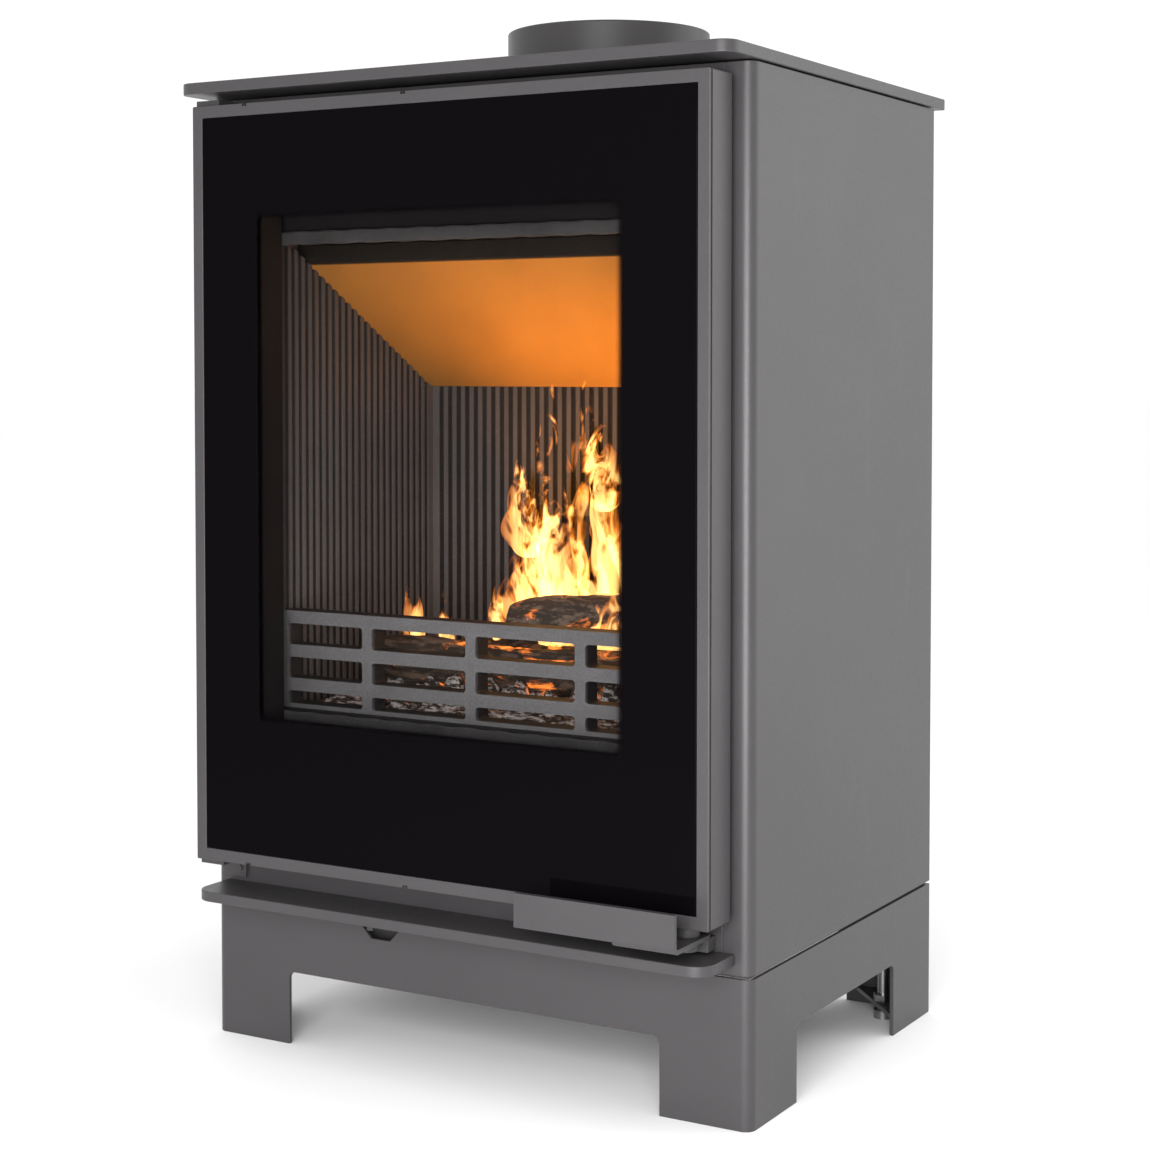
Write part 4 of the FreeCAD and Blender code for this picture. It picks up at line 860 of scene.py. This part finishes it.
class STOVE_OT_linings(bpy.types.Operator):
    """Fluted lining boards and the throat board"""
    bl_idname = "stove.linings"
    bl_label = "Linings"

    def fluted(self, start, end, sizes):
        """Depth of the face along a board: round-bottomed flutes at an even pitch.

        Depth = flute depth * sqrt(1 - (s / w)^2) at the distance s from a flute's middle, within half
        its width w, and 0 on the flat ridges between.
        """
        pitch = sizes.flute_pitch
        count = int((end - start - pitch / 2) / pitch)
        first = (start + end) / 2 - pitch * (count - 1) / 2
        stops = np.array(FLUTE_STOPS)
        offsets = np.concatenate([-stops[::-1], stops])
        place = (first + pitch * np.arange(count)[:, None] + pitch * offsets[None]).ravel()
        shape = np.sqrt(np.clip(1 - (np.abs(offsets) / FLUTE_HALF) ** 2, 0, 1))
        shape[[0, -1]] = -0.02
        depth = np.tile(shape, count) * sizes.flute_depth
        return np.concatenate([[start], place, [end]]), np.concatenate([[0], np.maximum(depth, 0), [0]])

    def execute(self, context):
        """Each board's plan, flat behind and fluted in front, is carried up to its top edge."""
        sizes = context.scene.stove_sizes
        (_, by0, bz0), (_, by1, bz1) = corners("baffle")
        board = sizes.throat_board
        slope = (bz1 - board - bz0) / (by1 - by0)
        for side, sign in (("left", -1), ("right", 1)):
            (x0, y0, z0), (x1, y1, z1) = corners(f"lining_{side}")
            face, back = (x0, x1) if sign > 0 else (x1, x0)
            place, depth = self.fluted(y0, y1, sizes)
            front = np.column_stack([face + depth * sign, place])
            plan = np.vstack([front, [[back, y1], [back, y0]]])
            top = bz0 + slope * (by1 - plan[:, 1])
            height = np.stack([np.full(len(top), z0), top])
            rings = np.stack(np.broadcast_arrays(plan[None, :, 0], plan[None, :, 1], height), axis=-1)
            mesh = close_up(surface(f"lining_{side}_finished", rings, caps=True))
            # flute: the depth of the flutes, which the board's material turns into painted shade in the
            # grooves.
            tagged(mesh, "flute", np.abs(places(mesh)[:, 0] - face) / sizes.flute_depth)
            show(mesh, "stove", finish("board"), (f"lining_{side}",), angle=50)
        (x0, y0, z0), (x1, y1, z1) = corners("lining_rear")
        place, depth = self.fluted(x0 + sizes.board_margin, x1 - sizes.board_margin, sizes)
        place = np.concatenate([[x0], place, [x1]])
        depth = np.concatenate([[0], depth, [0]])
        plan = np.vstack([np.column_stack([place, y0 + depth]), [[x1, y1], [x0, y1]]])
        rings = at_levels(np.stack([plan, plan]), (z0, z1))
        mesh = close_up(surface("lining_rear_finished", rings, caps=True))
        # flute: the depth of the flutes, which the board's material turns into painted shade in the
        # grooves.
        tagged(mesh, "flute", (places(mesh)[:, 1] - y0) / sizes.flute_depth)
        show(mesh, "stove", finish("board"), ("lining_rear",), angle=50)
        low, high = corners("baffle")
        outline = soften([(by1, bz0), (by1, bz0 + board), (by0, bz1), (by0, bz1 - board)][::-1],
                         sizes.board_edge, 3)
        mesh = prism("baffle_finished", outline, "YZ", low[0], high[0], sizes.board_edge)
        # The throat board's orange colour is painted firelight.
        show(mesh, "stove", finish("board_painted_firelight"), ("baffle",))
        return {"FINISHED"}


class STOVE_OT_castings(bpy.types.Operator):
    """Log guard, grate, hearth board and ash pan with softened edges"""
    bl_idname = "stove.castings"
    bl_label = "Castings and ash pan"

    def execute(self, context):
        """Softened copies of the frame's nodes."""
        sizes = context.scene.stove_sizes
        # The log guard carries soot and painted shade on its fire side.
        softened("log_retainer", "log_retainer", finish("guard"), sizes.casting_edge)
        softened("fire_grate", "stove", finish("iron"), sizes.grate_edge)
        softened("hearth_plate", "stove", finish("board"), sizes.grate_edge)
        for name in ("ash_pan", "ash_pan_grip"):
            softened(name, "stove", finish("zinc"), sizes.sheet_edge)
        return {"FINISHED"}


class STOVE_OT_handle(bpy.types.Operator):
    """Door handle, air lever and hinge brackets with softened edges"""
    bl_idname = "stove.handle"
    bl_label = "Handle and hinges"

    def execute(self, context):
        """Softened copies of the frame's nodes."""
        sizes = context.scene.stove_sizes
        softened("handle_lever", "handle", finish("paint"), sizes.sheet_edge)
        softened("air_lever", "air_lever", finish("paint"), sizes.sheet_edge)
        for name in ("hinge_bracket_upper", "hinge_bracket_lower"):
            softened(name, "stove", finish("paint"), sizes.sheet_edge)
        softened("latch_keeper", "stove", finish("steel"), sizes.sheet_edge)
        return {"FINISHED"}


NODE_FINISH = {"handle_spacer": "steel", "handle_cam": "steel", "handle_pivot_pin": "steel",
               "hinge_rivets": "paint", "base_plate": "steel"}
SLOT_FINISH = {"stove_paint": "paint", "black_steel": "steel", "firebrick": "board", "cast_iron": "iron",
               "ceramic_glass": "glass", "rope_seal": "rope", "zinc_steel": "zinc"}


class STOVE_OT_finishes(bpy.types.Operator):
    """Give every frame node the finish of its material slot"""
    bl_idname = "stove.finishes"
    bl_label = "Finishes"

    def execute(self, context):
        """The imported material's name tells the slot; each is changed for the made finish."""
        for name, node in nodes.items():
            for index, old in enumerate(node.data.materials):
                slot = next(key for key in SLOT_FINISH if key in old.name)
                node.data.materials[index] = finish(NODE_FINISH.get(name, SLOT_FINISH[slot]))
        return {"FINISHED"}


LOG_BEND = 0.006  # metres that a log's spine bows up and down
# Start and end of each burning log, then its radius, in metres.
LOGS = (((-0.125, -0.055, 0.268), (0.140, -0.020, 0.272), 0.022),
        ((-0.030, 0.030, 0.280), (0.145, -0.040, 0.290), 0.026),
        ((-0.100, 0.010, 0.266), (0.030, 0.035, 0.275), 0.020),
        ((-0.020, -0.045, 0.300), (0.115, 0.000, 0.304), 0.018))
# Each flame's x, y, foot, tip, width and sway, in metres.
FLAMES = ((-0.042, -0.025, 0.284, 0.340, 0.007, 0.004), (-0.014, -0.020, 0.286, 0.385, 0.024, -0.012),
          (0.008, -0.022, 0.288, 0.475, 0.028, 0.012), (0.034, -0.015, 0.288, 0.485, 0.022, -0.014),
          (0.056, -0.018, 0.286, 0.410, 0.022, -0.010), (-0.014, -0.024, 0.345, 0.425, 0.020, 0.010),
          (0.046, -0.020, 0.380, 0.450, 0.018, 0.012), (0.086, -0.010, 0.286, 0.420, 0.024, 0.010),
          (0.120, -0.010, 0.286, 0.390, 0.022, -0.008), (-0.117, -0.020, 0.262, 0.338, 0.010, 0.005),
          (-0.090, -0.020, 0.266, 0.320, 0.008, -0.004), (0.012, -0.030, 0.284, 0.335, 0.036, 0.004),
          (0.056, -0.030, 0.284, 0.330, 0.030, -0.004))


class STOVE_OT_fire(bpy.types.Operator):
    """Burning logs, embers and flames, as dressing that is not part of the stove"""
    bl_idname = "stove.fire"
    bl_label = "Fire"

    def log(self, name, start, end, radius, seed):
        """A rod with closed ends and bark: radius * (0.86 + 0.22 noise) about a slightly bent spine."""
        along = np.linspace(0, 1, 60)[:, None]
        angle = np.linspace(0, 2 * np.pi, 40, endpoint=False)[None]
        start, end = np.array(start), np.array(end)
        way = (end - start) / np.linalg.norm(end - start)
        side = np.cross(way, (0, 0, 1))
        side = side / np.linalg.norm(side)
        up = np.cross(side, way)
        closing = np.clip(np.minimum(along, 1 - along) / 0.02, 0, 1) ** 0.5
        radial = side * np.cos(angle)[..., None] + up * np.sin(angle)[..., None]
        bend = up * LOG_BEND * np.sin(3 * along[..., None] + seed)
        spine = start + (end - start) * along[..., None] + bend
        rough = waves(spine + radial * radius * np.ones_like(along)[..., None], seed, 0.05, 5)
        size = radius * closing * (0.86 + 0.22 * rough)
        mesh = close_up(surface(name, spine + radial * size[..., None], caps=True))
        self.dress(mesh, finish("log"))

    def tongue(self, index, x, y, low, high, width, sway, seed):
        """One flame: a flattened tube of radius width * sin(pi v^0.62)^0.8 * (1 - 0.35 v), for v from foot
        to tip, swaying as it rises.

        Its thickness at the angle a round it is the size of sin a: 1 in the middle, 0 at the sides.
        """
        v = np.linspace(0.01, 1, 48)[:, None]
        angle = np.linspace(0, 2 * np.pi, 28, endpoint=False)[None]
        radius = width * np.abs(np.sin(np.pi * v ** 0.62)) ** 0.8 * (1 - 0.35 * v)
        centre_x = x + sway * np.sin(2.2 * v + seed) * v
        centre_y = y + 0.4 * sway * np.cos(3.1 * v + seed) * v
        wobble = 1 + 0.22 * np.sin(3 * angle + 7 * v + seed) + 0.12 * np.sin(5 * angle - 11 * v)
        rings = np.stack(np.broadcast_arrays(centre_x + radius * wobble * np.cos(angle),
                                             centre_y + 0.45 * radius * wobble * np.sin(angle),
                                             low + (high - low) * v), axis=-1)
        mesh = surface(f"flame_{index}", rings)
        tagged(mesh, "thick", np.abs(np.sin(np.broadcast_to(angle, rings.shape[:2]))).ravel())
        close_up(mesh)
        tagged(mesh, "rise", (places(mesh)[:, 2] - low) / (high - low))
        self.dress(mesh, finish("flame"))

    def dress(self, mesh, material):
        """Put a mesh in the scene as stage dressing, which isn't part of the stove."""
        mesh.materials.append(material)
        mesh.shade_smooth()
        item = bpy.data.objects.new(mesh.name, mesh)
        bpy.context.scene.collection.objects.link(item)

    def execute(self, context):
        """Ember bed, four logs and the flames above them.

        The bed's height above the hearth is 1 mm + fall^0.6 * (6 mm + lumps): fall goes from 0 at its rim
        to 1, and the lumps are the size of smooth noise.
        """
        hearth = corners("hearth_plate")[1][2]
        (x0, y0), (x1, y1) = EMBER_BED
        x = np.linspace(x0, x1, 150)[None]
        y = np.linspace(y0, y1, 90)[:, None]
        grid = np.stack(np.broadcast_arrays(x, y, 0.0), axis=-1)
        rim_distance = np.minimum(np.minimum(x - x0, x1 - x), np.minimum(y - y0, y1 - y))
        fall = np.clip(rim_distance / EMBER_EDGE, 0, 1)
        lumps = np.abs(waves(grid, 5, 0.035, 5)) * 0.030
        grid = grid + np.array([0, 0, 1.0]) * (hearth + 0.001 + fall ** 0.6 * (0.006 + lumps))[..., None]
        self.dress(surface("ember_bed", grid, wrap_cols=False), finish("embers"))
        for number, (start, end, radius) in enumerate(LOGS):
            self.log(f"burning_log_{number + 1}", start, end, radius, number + 3)
        for number, (px, py, low, high, width, sway) in enumerate(FLAMES):
            self.tongue(number + 1, px, py, low, high, width, sway, 1.7 * number)
        return {"FINISHED"}


WHITE = (1.0, 1.0, 1.0)
GLOW = (1.0, 0.42, 0.07)
# Each light's name, place, aim and width in metres, the studio's number for its power, colour and spread.
LIGHTS = (("side_soft_light", (1.6, 1.25, 0.9), (0.2, 0.0, 0.4), 1.8, "side_light", WHITE, 180),
          ("front_soft_light", (0.50, -1.15, 0.35), (0.25, -0.17, 0.30), 0.80, "front_light", WHITE, 180),
          ("fire_glow", (0.03, 0.005, 0.37), (0.03, 0.005, 0.60), 0.22, "fire_light", GLOW, 125))


class STOVE_OT_stage(bpy.types.Operator):
    """Pale floor, soft studio light and the camera"""
    bl_idname = "stove.stage"
    bl_label = "Stage"

    def light(self, name, place, aim, size, power, tone, angle):
        """A square soft light aimed at a point, spreading over an angle in degrees."""
        lamp = bpy.data.lights.new(name, "AREA")
        lamp.shape = "SQUARE"
        lamp.size = size
        lamp.energy = power
        lamp.spread = math.radians(angle)
        lamp.color = tone
        item = bpy.data.objects.new(name, lamp)
        item.location = place
        item.rotation_euler = (Vector(aim) - Vector(place)).to_track_quat("-Z", "Y").to_euler()
        bpy.context.scene.collection.objects.link(item)

    def execute(self, context):
        """The floor is one wide square; the camera tilts a little down, with its frame shifted down."""
        studio = context.scene.stove_studio
        scene = bpy.context.scene
        side = np.array([-FLOOR_REACH, FLOOR_REACH])
        grid = np.stack(np.broadcast_arrays(side[None], side[:, None], 0.0), axis=-1)
        mesh = surface("floor", grid, wrap_cols=False)
        mesh.materials.append(finish("floor"))
        floor = bpy.data.objects.new("floor", mesh)
        scene.collection.objects.link(floor)
        world = bpy.data.worlds.new("white_studio")
        world.use_nodes = True
        background = world.node_tree.nodes["Background"]
        background.inputs["Color"].default_value = tuple(scene.stove_colours.world) + (1.0,)
        background.inputs["Strength"].default_value = studio.surround
        scene.world = world
        for name, place, aim, size, power, tone, angle in LIGHTS:
            self.light(name, place, aim, size, getattr(studio, power), tone, angle)
        lens = bpy.data.cameras.new("main_camera")
        lens.lens = studio.lens
        lens.sensor_width = 36.0
        lens.shift_y = -studio.drop
        lens.clip_start = 0.01
        lens.clip_end = 100.0
        camera = bpy.data.objects.new("main_camera", lens)
        camera.location = (studio.distance_x, -studio.distance_y, studio.camera_height)
        camera.rotation_euler = (math.radians(90 - studio.tilt), 0, math.radians(studio.turn))
        scene.collection.objects.link(camera)
        scene.camera = camera
        scene.view_settings.view_transform = "Standard"
        return {"FINISHED"}


class STOVE_PT_panel(bpy.types.Panel):
    """Buttons, sizes and colours of the stove"""
    bl_idname = "STOVE_PT_panel"
    bl_label = "Wood Burning Stove"
    bl_space_type = "VIEW_3D"
    bl_region_type = "UI"
    bl_category = "Stove"

    def draw(self, context):
        """List the operators, then the properties."""
        for operator in OPERATORS:
            self.layout.operator(operator.bl_idname)
        for group in (context.scene.stove_sizes, context.scene.stove_colours, context.scene.stove_studio):
            box = self.layout.box()
            for name in group.__annotations__:
                box.prop(group, name)


OPERATORS = (STOVE_OT_finishes, STOVE_OT_top_plate, STOVE_OT_flue_collar, STOVE_OT_ash_lip,
             STOVE_OT_casing, STOVE_OT_door, STOVE_OT_glass, STOVE_OT_rope_seal, STOVE_OT_linings,
             STOVE_OT_castings, STOVE_OT_handle, STOVE_OT_fire, STOVE_OT_stage)
GROUPS = (StoveSizes, StoveColours, StoveStudio)


def register():
    """Register the classes and the scene's property groups."""
    for item in GROUPS + OPERATORS + (STOVE_PT_panel,):
        bpy.utils.register_class(item)
    bpy.types.Scene.stove_sizes = bpy.props.PointerProperty(type=StoveSizes)
    bpy.types.Scene.stove_colours = bpy.props.PointerProperty(type=StoveColours)
    bpy.types.Scene.stove_studio = bpy.props.PointerProperty(type=StoveStudio)


def unregister():
    """Take the property groups and the classes away again."""
    del bpy.types.Scene.stove_studio
    del bpy.types.Scene.stove_colours
    del bpy.types.Scene.stove_sizes
    for item in reversed(GROUPS + OPERATORS + (STOVE_PT_panel,)):
        bpy.utils.unregister_class(item)


def main():
    """Build every piece in order."""
    register()
    for operator in OPERATORS:
        group, name = operator.bl_idname.split(".")
        getattr(getattr(bpy.ops, group), name)()


if __name__ == "__main__":
    main()
